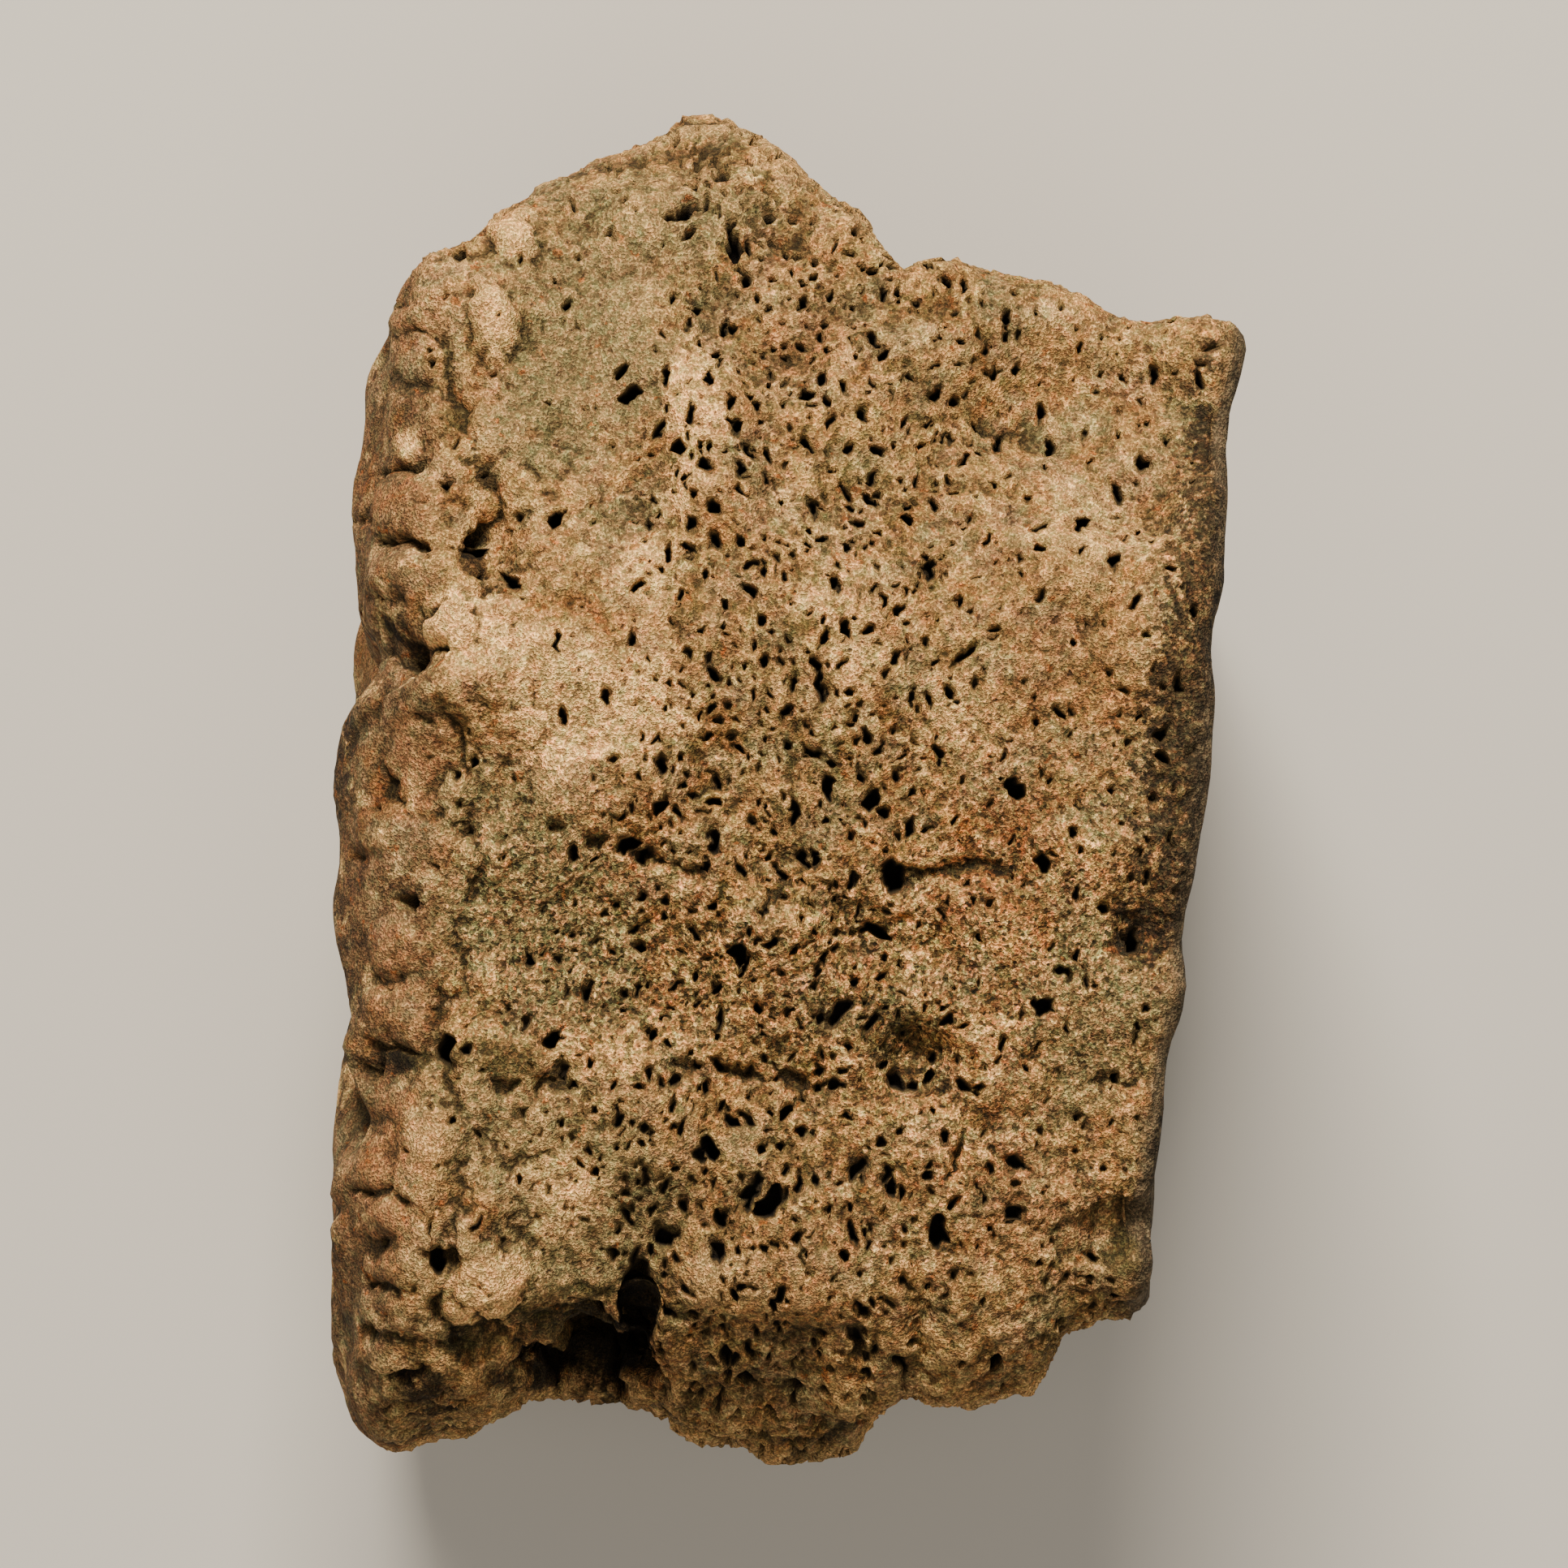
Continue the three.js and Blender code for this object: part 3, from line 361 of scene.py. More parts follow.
HOLE_CELL = 0.5  # size of the cells with a tiny hole in each
WIDEST_HOLE = 0.3  # over its cell
CELLS_WITHOUT = 0.35  # the share of cells without a tiny hole
HOLE_EDGE = 0.08  # how soft their edges are, over the cell
BONE = ("#83643f", "#c59c63")  # its darker and paler mottles
OUTER_BONE = ("#5c4630", "#8b6d4b")
INNER_BONE = ("#453c2c", "#74644b")
STAIN_COLOURS = {  # each stain's colour, and the most that it covers
    "pink": ("#b08157", 0.7),
    "sage": ("#907f58", 0.85),
    "cream_and_highlight": ("#ffd08e", 0.92),
    "rust": ("#80502c", 0.65),
    "soot_and_rim_shade": ("#2b251b", 0.85),
    "moss": ("#3b371b", 0.8),
    "dirt_and_shade": ("#151007", 0.92),
}
STAIN_BROKEN = (0.6, 0.8)  # a stain is multiplied by the first, plus this much of an uneven noise
STAIN_EDGE = (0.3, 0.85)  # it begins and is full at these levels
HOLLOW_DIRT_AND_SHADE = (0.55, 1)  # the crevice values at which dirt and painted shade begin and are full
PALE_WEAR_AND_HIGHLIGHT = (0.45, 0.1, 0.4)  # and those at which pale wear and painted highlight begin and are full, and their share
OUTER_PALE_LESS = 0.8  # how much less of that the outer face has
BROWN_WALL_SHADE = 0.5  # the pore value at which its wall is fully brown, with soil and painted shade
BLACK_PORE_SHADE = (0.4, 0.9)  # and those at which its black painted shade begins and is full
GRAIN_SHARE = 0.75  # strength of the dark and rusty grains and of the tiny holes' painted shade
BUMP = (0.9, 0.1)  # strength and depth of the relief that only the material has
MOTTLE_BUMP = 0.4  # its mottle's part, over its grain's

# ---- The grid: finer where the broken edge faces up ----
UPWARD_HALF_ANGLE = 62
UPWARD_COLUMNS = 640
OTHER_COLUMNS = 320
ROWS = (84, 74, 340, 18, 60)  # outer face, shoulder, edge wall, inner rim, inner face
MOST_TRIANGLES = 197000


# ---- Small tools ----
def step(a, b, v):
    """0 below a, 1 above b, and a smooth step between."""
    t = np.clip((v - a) / (b - a), 0, 1)
    return t * t * (3 - 2 * t)


def bell(distance, half):
    """1 in the middle, fading as a bell curve: e to the minus the square of distance over half size."""
    return np.exp(-((distance / half) ** 2))


def spots(x, y, listed):
    """A sum of soft oval spots, each a bell curve of its own strength."""
    return sum(high * bell(np.hypot((x - ax) / hx, (y - ay) / hy), 1) for ax, ay, hx, hy, high in listed)


def around(angle, values):
    """A value blended round the tile by the squares of the sine and cosine, from four given ones."""
    up, plus_y, resting, minus_y = values
    c, s = np.cos(angle), np.sin(angle)
    return np.where(c > 0, up, resting) * c * c + np.where(s > 0, plus_y, minus_y) * s * s


def scatter(i, j, k):
    """A fixed random number from 0 to 1 for each whole-numbered lattice point, from a mix of its bits."""
    i, j, k = (np.asarray(v).astype(np.int64).astype(np.uint32) for v in (i, j, k))
    h = (i * np.uint32(374761393)) ^ (j * np.uint32(668265263)) ^ (k * np.uint32(1103515245))
    h = (h ^ (h >> np.uint32(13))) * np.uint32(1274126177)
    h = (h ^ (h >> np.uint32(15))) * np.uint32(2246822519)
    return (h ^ (h >> np.uint32(16))) / 4294967296


def noise(x, y, z):
    """Smooth lattice noise from -1 to 1, with lumps about one unit across: a blend of the corners' numbers.

    A constant that a caller adds to a coordinate only shifts the pattern, so that no two noises match.
    """
    x, y, z = np.broadcast_arrays(x, y, z)
    corner = [np.floor(v) for v in (x, y, z)]
    u, v, w = (t * t * t * (t * (t * 6 - 15) + 10) for t in (x - corner[0], y - corner[1], z - corner[2]))
    total = np.zeros(x.shape)
    for c in range(8):
        a, b, d = c & 1, (c >> 1) & 1, (c >> 2) & 1
        weight = (u if a else 1 - u) * (v if b else 1 - v) * (w if d else 1 - w)
        total += scatter(corner[0] + a, corner[1] + b, corner[2] + d) * weight
    return 2 * total - 1


def slope_noise(x, y, z):
    """Perlin's noise, about -1 to 1: a blend of slopes, one of eight diagonals at each lattice corner."""
    x, y, z = np.broadcast_arrays(x, y, z)
    corner = [np.floor(v) for v in (x, y, z)]
    dx, dy, dz = x - corner[0], y - corner[1], z - corner[2]
    u, v, w = (t * t * t * (t * (t * 6 - 15) + 10) for t in (dx, dy, dz))
    total = np.zeros(x.shape)
    for c in range(8):
        a, b, d = c & 1, (c >> 1) & 1, (c >> 2) & 1
        weight = (u if a else 1 - u) * (v if b else 1 - v) * (w if d else 1 - w)
        way = (8 * scatter(corner[0] + a, corner[1] + b, corner[2] + d)).astype(np.int8)
        slope = (2 * (way & 1) - 1) * (dx - a) + ((way & 2) - 1) * (dy - b) + ((way >> 1 & 2) - 1) * (dz - d)
        total += slope * weight
    return total


def distance_to_line(line, x, y):
    """How far each point lies from a bent line: the least of its distances from the straight parts."""
    best = np.full(x.shape, np.inf)
    for (ax, ay), (bx, by) in zip(line, line[1:]):
        t = np.clip(((x - ax) * (bx - ax) + (y - ay) * (by - ay)) / ((bx - ax) ** 2 + (by - ay) ** 2), 0, 1)
        best = np.minimum(best, np.hypot(x - ax - t * (bx - ax), y - ay - t * (by - ay)))
    return best


# ---- The plain form ----
def dent_depth(x, y):
    """A sum of round hollows, each deepest in its middle and fading as a bell curve."""
    return spots(x, y, DENTS)


def wall_radius(angle, x):
    """Radius of the edge wall: a high power mean of the edge planes and the broken ends, less the dents."""
    low = step(*END_WANDER_FROM, -np.cos(angle))
    end_x = x + END_WANDER * low * noise(4 * np.cos(angle), 4 * np.sin(angle), x / END_WANDER_SIZE)
    top, bottom = (np.interp(end_x, *zip(*end)) for end in (TOP_END, BOTTOM_END))
    ends = [(TOP_FACES, top), (BOTTOM_FACES, bottom)]
    total = 0
    for faces, distance in SIDES + ends:
        lean = np.maximum(np.cos(angle - math.radians(faces)), 0)
        total = total + (lean / distance) ** CORNER_SHARPNESS
    radius = total ** (-1 / CORNER_SHARPNESS)
    return radius - step(*UPWARD, np.cos(angle)) * dent_depth(x, radius * np.sin(angle))


def section(angle, part, share):
    """Radius and x of the section: parts 0 outer face, 1 shoulder, 2 edge wall, 3 inner rim, 4 inner face.

    The shoulder and the inner rim are quarter ellipses, the wall runs straight in x, and each face is a
    shallow bowl or dome in the share of its radius.
    """
    rim_x = around(angle, OUTER_RIM_X)
    rim = wall_radius(angle, rim_x)
    run = around(angle, SHOULDER_RUN)
    crest = around(angle, CREST_X)
    turn = share * math.pi / 2
    if part == 0:
        return (rim - run) * share, OUTER_MIDDLE_X + (crest - OUTER_MIDDLE_X) * share**2
    if part == 1:
        return rim - run + run * np.sin(turn), rim_x + (crest - rim_x) * np.cos(turn)
    rounding = around(angle, INNER_ROUND)
    end_x = INNER_X + INNER_TILT * wall_radius(angle, INNER_X) * np.sin(angle) - rounding
    if part == 2:
        x = rim_x + (end_x - rim_x) * share
        return wall_radius(angle, x), x
    inner_rim = wall_radius(angle, end_x) - rounding
    if part == 3:
        return inner_rim + rounding * np.cos(turn), end_x + rounding * np.sin(turn)
    q = 1 - share
    return inner_rim * q, INNER_X + (end_x + rounding - INNER_X) * q - INNER_HOLLOW * (1 - q * q)


def angle_from_up(angle):
    """The same angle, from minus to plus half a turn."""
    return np.where(angle > math.pi, angle - 2 * math.pi, angle)


def plain_grid():
    """The grid's angles and, row by row, its radius, its x, the part and the share of each row."""
    half = math.radians(UPWARD_HALF_ANGLE)
    upward = np.linspace(-half, half, UPWARD_COLUMNS, endpoint=False)
    rest = np.linspace(half, 2 * math.pi - half, OTHER_COLUMNS, endpoint=False)
    angle = np.concatenate([upward, rest])[None, :]
    blocks = []
    for part, rows in enumerate(ROWS):
        share = (np.arange(rows) / rows)[:, None]
        if part == 0:
            share = share[1:]
        radius, x = section(angle, part, share)
        full = np.ones_like(radius)
        blocks.append((radius, x * full, part * full, share * full))
    radius, x, part, share = (np.vstack(fields) for fields in zip(*blocks))
    return angle * np.ones_like(radius), radius, x, part, share


def outward(p):
    """Unit normals of a grid of points: the cross product of its steps along the rows and round the tile."""
    along = np.gradient(p, axis=0)
    round_it = np.roll(p, -1, axis=1) - np.roll(p, 1, axis=1)
    n = np.cross(along, round_it)
    return n / np.maximum(np.linalg.norm(n, axis=2, keepdims=True), 1e-12)


# ---- Relief, outwards, in millimetres ----
def ornament(angle, r, rim):
    """The outer face's figures: domed between grooves, with short furrows down the shoulder.

    The nearest groove is the ring or one of the radial lines, and a bell curve of that distance sinks it.
    """
    ring = rim * (RING_SHARE + RING_WOBBLE * noise(3 * np.cos(angle) + 9, 3 * np.sin(angle), 1.5))
    nearest = np.abs(r - ring)
    for degrees in RADIAL_GROOVES:
        apart = angle - math.radians(degrees) - GROOVE_BEND * noise(r / 6, degrees, 4.5)
        beside = (np.cos(apart) > 0) & (r > ring - GROOVE_HALF_WIDTH)
        nearest = np.where(beside, np.minimum(nearest, np.abs(r * np.sin(apart))), nearest)
    groove = np.exp(-((nearest / GROOVE_HALF_WIDTH) ** 2))
    bulge = 1 - np.exp(-((nearest / BULGE_REACH) ** 2))
    uneven = FURROW_SWAY * noise(4 * np.cos(angle), 4 * np.sin(angle), r / 5)
    furrow = 0.5 + 0.5 * np.cos(FURROWS_ROUND * (angle + uneven))
    return FIGURE_BULGE * bulge - GROOVE_DEPTH * groove - FURROW_DEPTH * step(*FLANK, r / rim) * furrow**3


def ragged(x, y, z, salt):
    """Two coordinates of each point, moved a little by noise, so that what follows them has torn edges."""
    moved_x = x + sum(reach * slope_noise(x / s, y / s + salt, z / s) for s, reach in RAGGED)
    moved_y = y + sum(reach * slope_noise(x / s + salt, y / s, z / s + 17.5) for s, reach in RAGGED)
    return moved_x, moved_y


def lines(x, y, listed):
    """The sum of bent grooves: a bell curve of the distance to each line, healed here and there by noise."""
    left, low, high, size = HEALED
    open_share = left + (1 - left) * step(low, high, slope_noise(x / size, y / size, 71.5))
    return open_share * sum(deep * bell(distance_to_line(line, x, y), half) for line, half, deep in listed)


def main_relief(here):
    """The solid's own relief: lumps everywhere, ornament on the outer face, cracks on the upward edge."""
    x, y, z, wall = here.x, here.y, here.z, here.wall
    h = sum((face + (edge - face) * wall) * noise(x / s + 7, y / s, z / s) for s, edge, face in LUMPS)
    rim = wall_radius(here.angle, around(here.angle, OUTER_RIM_X))
    worn_down = 1 - BAND_WEAR * here.seen * step(*BAND_WORN_FROM, wall)
    figures = ornament(here.angle, here.r, rim) * worn_down * (1 - step(*ORNAMENT_ENDS, wall))
    h = h + np.where(here.outer, figures, 0)
    h = h - here.up * wall * lines(here.torn_x, here.torn_y, CRACKS)
    begins, ends, left = WORN
    return h * (1 - (1 - left) * step(begins, ends, -np.cos(here.angle)))


def large_pores(x, y):
    """Depth of the single large pores: ovals, each with its own lean and length, with a steep torn rim."""
    depth = np.zeros(x.shape)
    for n, (ax, ay, radius, deep) in enumerate(LARGE_PORES):
        turn = 2 * float(scatter(n, 5, 1)) - 1
        long = 1 + PORE_LENGTH * float(scatter(n, 5, 2))
        across = (x - ax) * math.cos(turn) - (y - ay) * math.sin(turn)
        onward = (x - ax) * math.sin(turn) + (y - ay) * math.cos(turn)
        away = np.hypot(across, onward / long) / (radius * PORE_SHRINK)
        depth = np.maximum(depth, deep * (1 - step(*PORE_WALL, away)))
    return depth


def small_pores(u, v, lean, density, cell, salt, radii, stretch):
    """Two fields from 0 to 1 of one layer of pores: the wells, and the raised lip round each.

    In each cell of a jittered lattice lies one ellipse, or none. u runs across the thickness and v round the
    tile; density is the share of cells that hold a pore, stretch how many times longer than wide a pore may
    be, and lean the angle of its length from v. Wells and lips follow the distance from the middle over the
    radius.
    """
    cells_round = round(2 * math.pi * PORE_WRAP_RADIUS / cell)
    size = 2 * math.pi * PORE_WRAP_RADIUS / cells_round
    i0, j0 = np.floor(u / cell), np.floor(v / size)
    least, middle_range = MIDDLES
    wells = np.zeros(u.shape)
    lips = np.zeros(u.shape)
    for di in (-1, 0, 1):
        for dj in (-1, 0, 1):
            i, j = i0 + di, j0 + dj
            wrapped = np.mod(j, cells_round)
            chance = [scatter(i, wrapped, salt + k) for k in range(6)]
            du = u - (i + least + middle_range * chance[0]) * cell
            dv = v - (j + least + middle_range * chance[1]) * size
            turn = lean + PORE_TURN * (chance[2] - 0.5)
            big = chance[3] ** MOSTLY_SMALL
            radius = radii[0] + (radii[1] - radii[0]) * big
            across = (du * np.cos(turn) - dv * np.sin(turn)) / radius
            onward = (du * np.sin(turn) + dv * np.cos(turn)) / (radius * (1 + (stretch - 1) * chance[4]))
            away = np.hypot(across, onward)
            there = chance[5] < density
            well = np.maximum(1 - step(*WELL_WALL, away), PORE_DISH * (1 - step(*DISH_WALL, away)))
            deep = SMALLEST_WELL + (1 - SMALLEST_WELL) * big
            wells = np.maximum(wells, np.where(there, deep * well, 0))
            lips = np.maximum(lips, np.where(there, bell(away - LIP[0], LIP[1]), 0))
    return wells, lips


def round_pits(y, z, middles, size):
    """Depth of round pits with steep sides, from the distance to the nearest of their middles in y and z."""
    radius, deep = size
    nearest = np.min([np.hypot(y - ay, z - az) for ay, az in middles], axis=0)
    return deep * (1 - step(*PIT_WALL, nearest / radius))


def follicle_middles():
    """The y and z of the hair pits: on the ring groove, at the foot of some of the radial grooves."""
    middles = []
    for groove in FOLLICLES:
        angle = np.radians(RADIAL_GROOVES[groove])
        r = RING_SHARE * wall_radius(angle, around(angle, OUTER_RIM_X))
        middles.append((r * np.sin(angle), CENTRE_Z + r * np.cos(angle)))
    return middles


def folded(x, y, z):
    """The absolute value of noise: round lumps parted by sharp creases."""
    return 2 * np.abs(slope_noise(x, y, z)) - FOLD_LEVEL


def crumbs(x, y, z):
    """Crumbly lumps: folded noise at each size."""
    return sum(high * folded(x / s, y / s, z / s + 3) for s, high in GRIT)


def ledges(x, y, z):
    """Broken layers that lie along x: a folded noise that is stretched along x, with a bent course."""
    length, pitch = LEDGE_SIZE
    bend, size = LEDGE_BEND
    course = y / pitch + bend * slope_noise(x / size, y / size, 61.5)
    return folded(x / length, course, z / length)


def knobs(x, y):
    """Round knobs that stand on the seen edge: each a dome with an oval foot, at its own height."""
    h = np.zeros(x.shape)
    for ax, ay, hx, hy, high in KNOBS:
        dome = np.maximum(1 - ((x - ax) / hx) ** 2 - ((y - ay) / hy) ** 2, 0)
        h = np.maximum(h, high * dome**KNOB_ROUND)
    return h


def growth_arcs(x, y):
    """Fine ridges in rings round the middle figure's heart: a cosine of the distance, fading outwards."""
    away = np.hypot(x - ARCS["x"], y - ARCS["y"])
    fade = 1 - step(*ARCS_END, away / ARCS["reach"])
    return ARCS["height"] * np.cos(2 * math.pi * away / ARCS["pitch"]) * fade


def steep_hollow(x, y):
    """The cavity's heart: e to the power of minus the fourth power of the distance, and the slits in it."""
    ax, ay, hx, hy, deep = CAVITY
    heart = deep * np.exp(-(np.hypot((x - ax) / hx, (y - ay) / hy) ** 4))
    return heart + sum(d * bell(distance_to_line(line, x, y), half) for line, half, d in SLITS)


def blurred(h, passes):
    """Each point's mean with its neighbours, again and again. Columns wrap round, rows end at the edges."""
    for _ in range(passes):
        h = (h + np.roll(h, 1, axis=1) + np.roll(h, -1, axis=1)) / 3
        padded = np.pad(h, ((1, 1), (0, 0)), mode="edge")
        h = (padded[:-2] + h + padded[2:]) / 3
    return h


def stain_fields(x, y, z, listed_here):
    """Where each stain lies: in its listed spots on the seen edge, elsewhere where a broad noise is high."""
    fields = {}
    for salt, (name, listed) in enumerate(STAINS.items()):
        patches = sum(high * slope_noise(x / s + 11 * salt, y / s, z / s) for s, high in HIDDEN_PATCHES)
        elsewhere = HIDDEN_STAIN * step(*HIDDEN_LEVELS, patches)
        strength = spots(x, y, listed) * listed_here + elsewhere * (1 - listed_here)
        fields[name] = np.clip(strength, 0, STRONGEST_STAIN)
    return fields


def places(angle, r, x, part, share):
    """Where each grid point lies, how far it belongs to each surface, and its place moved for torn edges."""
    here = SimpleNamespace(angle=angle, r=r, part=part, share=share)
    here.point = np.stack([x, r * np.sin(angle), CENTRE_Z + r * np.cos(angle)], axis=2)
    here.x, here.y, here.z = np.moveaxis(here.point, 2, 0)
    here.torn_x, here.torn_y = ragged(here.x, here.y, here.z, 40)
    here.wall = np.select([part == 1, part == 2, part == 3], [share, np.ones_like(share), 1 - share], 0)
    here.on_wall = step(*WALL_FROM, here.wall)
    here.outer = here.x < INNER_SIDE
    here.up = step(*UPWARD, np.cos(angle))
    here.seen = step(*SEEN, np.cos(angle))
    here.down = step(*SUNK_DOWN, np.cos(angle))
    here.belt = np.clip(spots(here.x, here.y, GRITTY) * here.seen, 0, 1)
    reach, size = SPONGE_SPREAD
    wander = reach * noise(here.x / size, here.y / size, here.z / size + 2.5)
    low, lowest, wider = SPONGE_WIDENS
    across = here.x + wander + wider * step(low, lowest, here.y)
    begins, full, thins, thinnest = SPONGE_X
    here.sponge = step(begins, full, across) * (1 - SPONGE_THINS * step(thins, thinnest, across))
    return here


def pores(here):
    """How deep each point lies in a pore or pit, and how high on a pore's lip."""
    v = (1 - here.down) * angle_from_up(here.angle) * PORE_WRAP_RADIUS + here.down * here.y
    pore_u = here.x + PORE_TEAR * (here.torn_x - here.x)
    pore_v = v + PORE_TEAR * (here.torn_y - here.y)
    turns, size = LEAN_WANDER
    lean = turns * noise(here.x / size, here.y / size, here.z / size + 31.5)
    lean = lean + here.up * spots(here.x, here.y, LEANS)
    few, more = WIDE_SHARE
    wide, wide_lips = small_pores(pore_u, pore_v, lean, few + more * here.sponge, **WIDE_PORES)
    few, more = FINE_SHARE
    fine, fine_lips = small_pores(pore_u, pore_v, lean, few + more * here.sponge, **FINE_PORES)
    torn_share = TORN_SHARE * here.sponge * step(*TORN_BELOW, here.y) * (1 - step(*TORN_ENDS, here.x))
    torn, _ = small_pores(here.torn_x, v + here.torn_y - here.y, lean, torn_share, **TORN_PORES)
    pits, _ = small_pores(pore_u, pore_v, lean, PIT_SHARE, **OUTER_PITS)
    sponge = np.max([WIDE_DEPTH * wide, FINE_DEPTH * fine, TORN_DEPTH * torn], axis=0) * here.on_wall
    pits = PIT_DEPTH * pits * (1 - here.on_wall) * here.outer
    large = large_pores(here.torn_x, here.torn_y) * here.up * step(*LARGE_FROM, here.wall)
    hair = round_pits(here.y, here.z, follicle_middles(), FOLLICLE) * here.outer * (here.wall == 0)
    vessels = [(y, CENTRE_Z + z) for y, z in FORAMINA]
    vessel = round_pits(here.y, here.z, vessels, FORAMEN) * ~here.outer * (here.part == 4)
    lips = np.maximum(wide_lips, FINE_LIPS * fine_lips) * here.on_wall
    return np.max([sponge, pits, large, hair, vessel], axis=0), lips


def roughness(here):
    """How high the crumbs stand: less in the smooth places and where the sponge is whole."""
    smooth = np.clip(here.up * spots(here.x, here.y, SMOOTH), 0, 1)
    in_sponge = 1 - SPONGE_SMOOTHED * here.sponge * (1 - here.belt)
    return (1 - SMOOTHED * smooth) * in_sponge * (1 - BELT_SMOOTHED * here.belt)


def skin_relief(here, lips):
    """All relief but the pores: the solid's own, and its rise, crumbs, ledges, knobs, creases and lips."""
    on_shoulder = step(*ORNAMENT_ENDS, here.share)
    on_edge = (here.part == 2) * (1 - step(0, RIM_WIDTH, here.share))
    h = main_relief(here) + RIM_RISE * np.where(here.part == 1, on_shoulder, on_edge) * here.outer
    outer_left, inner_left = GRIT_LEFT
    on_outer = outer_left + (1 - outer_left) * here.on_wall
    on_inner = inner_left + (1 - inner_left) * step(*INNER_GRIT, here.wall)
    on_rim = np.where(here.outer, on_outer, on_inner)
    h = h + crumbs(here.x, here.y, here.z) * on_rim * roughness(here)
    ledge_height = np.clip(here.up * spots(here.x, here.y, LEDGES), *LEDGE_LIMITS)
    h = h + ledges(here.x, here.y, here.z) * here.on_wall * ledge_height
    on_band = here.up * (1 - step(*ARCS_END, here.wall)) * here.outer
    clear = step(*BAND_EDGE, here.wall)
    h = h + here.seen * clear * knobs(here.torn_x, here.torn_y)
    h = h + on_band * growth_arcs(here.torn_x, here.torn_y)
    h = h - CREASE_DEPTH * here.up * clear * lines(here.torn_x, here.torn_y, CREASES)
    return h + LIP_HEIGHT * lips


def colour_fields(here, wells, h, fallen):
    """What the material reads: the stains, the pores, the sponge, the grit, the two faces and the crevices.

    A crevice is a point below the mean height of its neighbours, near and far.
    """
    part, share = here.part, here.share
    faces = [1 - step(*FACE_ENDS, share), share, np.ones_like(share)]
    on_face = np.select([part == 0, part == 3, part == 4], faces, 0)
    fields = stain_fields(here.torn_x, here.torn_y, here.z, here.seen * (1 - on_face))
    fields["pore"] = np.clip(wells / BLACK_DEPTH, 0, 1)
    fields["sponge"] = here.sponge * here.on_wall
    below = blurred(h, NEAR_BLUR) - h + FAR_SHARE * (blurred(h, FAR_BLUR) - h)
    fields["crevice"] = np.clip(0.5 + (below + FALLEN_SHARE * fallen) / CREVICE_DEPTH, 0, 1)
    fields["gritty"] = here.belt * here.on_wall
    fields["outer"] = here.outer * (1 - step(*OUTER_ENDS, here.wall))
    fields["inner"] = ~here.outer * (1 - step(*INNER_ENDS, here.wall))
    return fields


def make_surface():
    """Every point of the skin and the fields that colour it.

    The plain form is pushed along its normals, and the open pores of the seen edge straight down.
    """
    here = places(*plain_grid())
    normal = outward(here.point)
    wells, lips = pores(here)
    h = skin_relief(here, lips)
    fallen = here.seen * steep_hollow(here.torn_x, here.torn_y)
    points = here.point + normal * h[..., None]
    points = points - normal * (wells * (1 - here.down * here.on_wall))[..., None]
    points[..., 2] -= wells * here.down * here.on_wall + fallen
    fields = colour_fields(here, wells, h, fallen)

    poles = [points[0].mean(axis=0), points[-1].mean(axis=0)]
    low, high = (np.array(corner) / MM for corner in solid_box)
    skin = np.clip(np.vstack([poles[0][None], points.reshape(-1, 3), poles[1][None]]), low, high)
    for name, f in fields.items():
        fields[name] = np.concatenate([[f[0].mean()], f.ravel(), [f[-1].mean()]])
    return skin, fields, points.shape[:2]


def grid_faces(rows, columns):
    """Quads between neighbouring rows and columns, closed round the tile, and triangles round each end."""
    row, column = np.mgrid[0 : rows - 1, 0:columns]
    beside = (column + 1) % columns
    a, b = 1 + row * columns + column, 1 + (row + 1) * columns + column
    c, d = 1 + (row + 1) * columns + beside, 1 + row * columns + beside
    quads = np.stack([a, b, c, d], axis=2).reshape(-1, 4)
    ring = np.arange(columns)
    first, last = 1 + ring, 1 + (rows - 1) * columns + ring
    after = (ring + 1) % columns
    start = np.stack([np.zeros_like(ring), first, 1 + after], axis=1)
    end_pole = rows * columns + 1
    end = np.stack([last, np.full_like(ring, end_pole), 1 + (rows - 1) * columns + after], axis=1)
    return quads, np.vstack([start, end])


def make_mesh(name, points, quads, triangles, fields):
    """Puts whole arrays of points, faces and point attributes into a new mesh, in metres."""
    mesh = bpy.data.meshes.new(name)
    mesh.vertices.add(len(points))
    mesh.vertices.foreach_set("co", (points * MM).astype(np.float32).ravel())
    corners = np.concatenate([quads.ravel(), triangles.ravel()]).astype(np.int32)
    mesh.loops.add(len(corners))
    mesh.loops.foreach_set("vertex_index", corners)
    starts = np.concatenate([np.arange(len(quads)) * 4, 4 * len(quads) + np.arange(len(triangles)) * 3])
    mesh.polygons.add(len(starts))
    mesh.polygons.foreach_set("loop_start", starts.astype(np.int32))
    mesh.update(calc_edges=True)
    mesh.validate()
    for field, values in fields.items():
        mesh.attributes.new(field, "FLOAT", "POINT").data.foreach_set("value", values.astype(np.float32))
    mesh.shade_smooth()
    return mesh


def thinned(bone, share):
    """A copy of an object's mesh with only a share of its triangles, kept inside the solid's box."""
    modifier = bone.modifiers.new("thin", "DECIMATE")
    modifier.ratio = share
    mesh = bpy.data.meshes.new_from_object(bone.evaluated_get(bpy.context.evaluated_depsgraph_get()))
    bone.modifiers.clear()
    co = np.empty(3 * len(mesh.vertices), np.float32)
    mesh.vertices.foreach_get("co", co)
    mesh.vertices.foreach_set("co", np.clip(co.reshape(-1, 3), *solid_box).ravel())
    mesh.shade_smooth()
    return mesh


points, fields, (rows, columns) = make_surface()
quads, triangles = grid_faces(rows, columns)
bone = bpy.data.objects.new("scute_bone", make_mesh("scute_bone", points, quads, triangles, fields))
bpy.context.scene.collection.objects.link(bone)
bone.data = thinned(bone, MOST_TRIANGLES / (2 * len(quads) + len(triangles)))


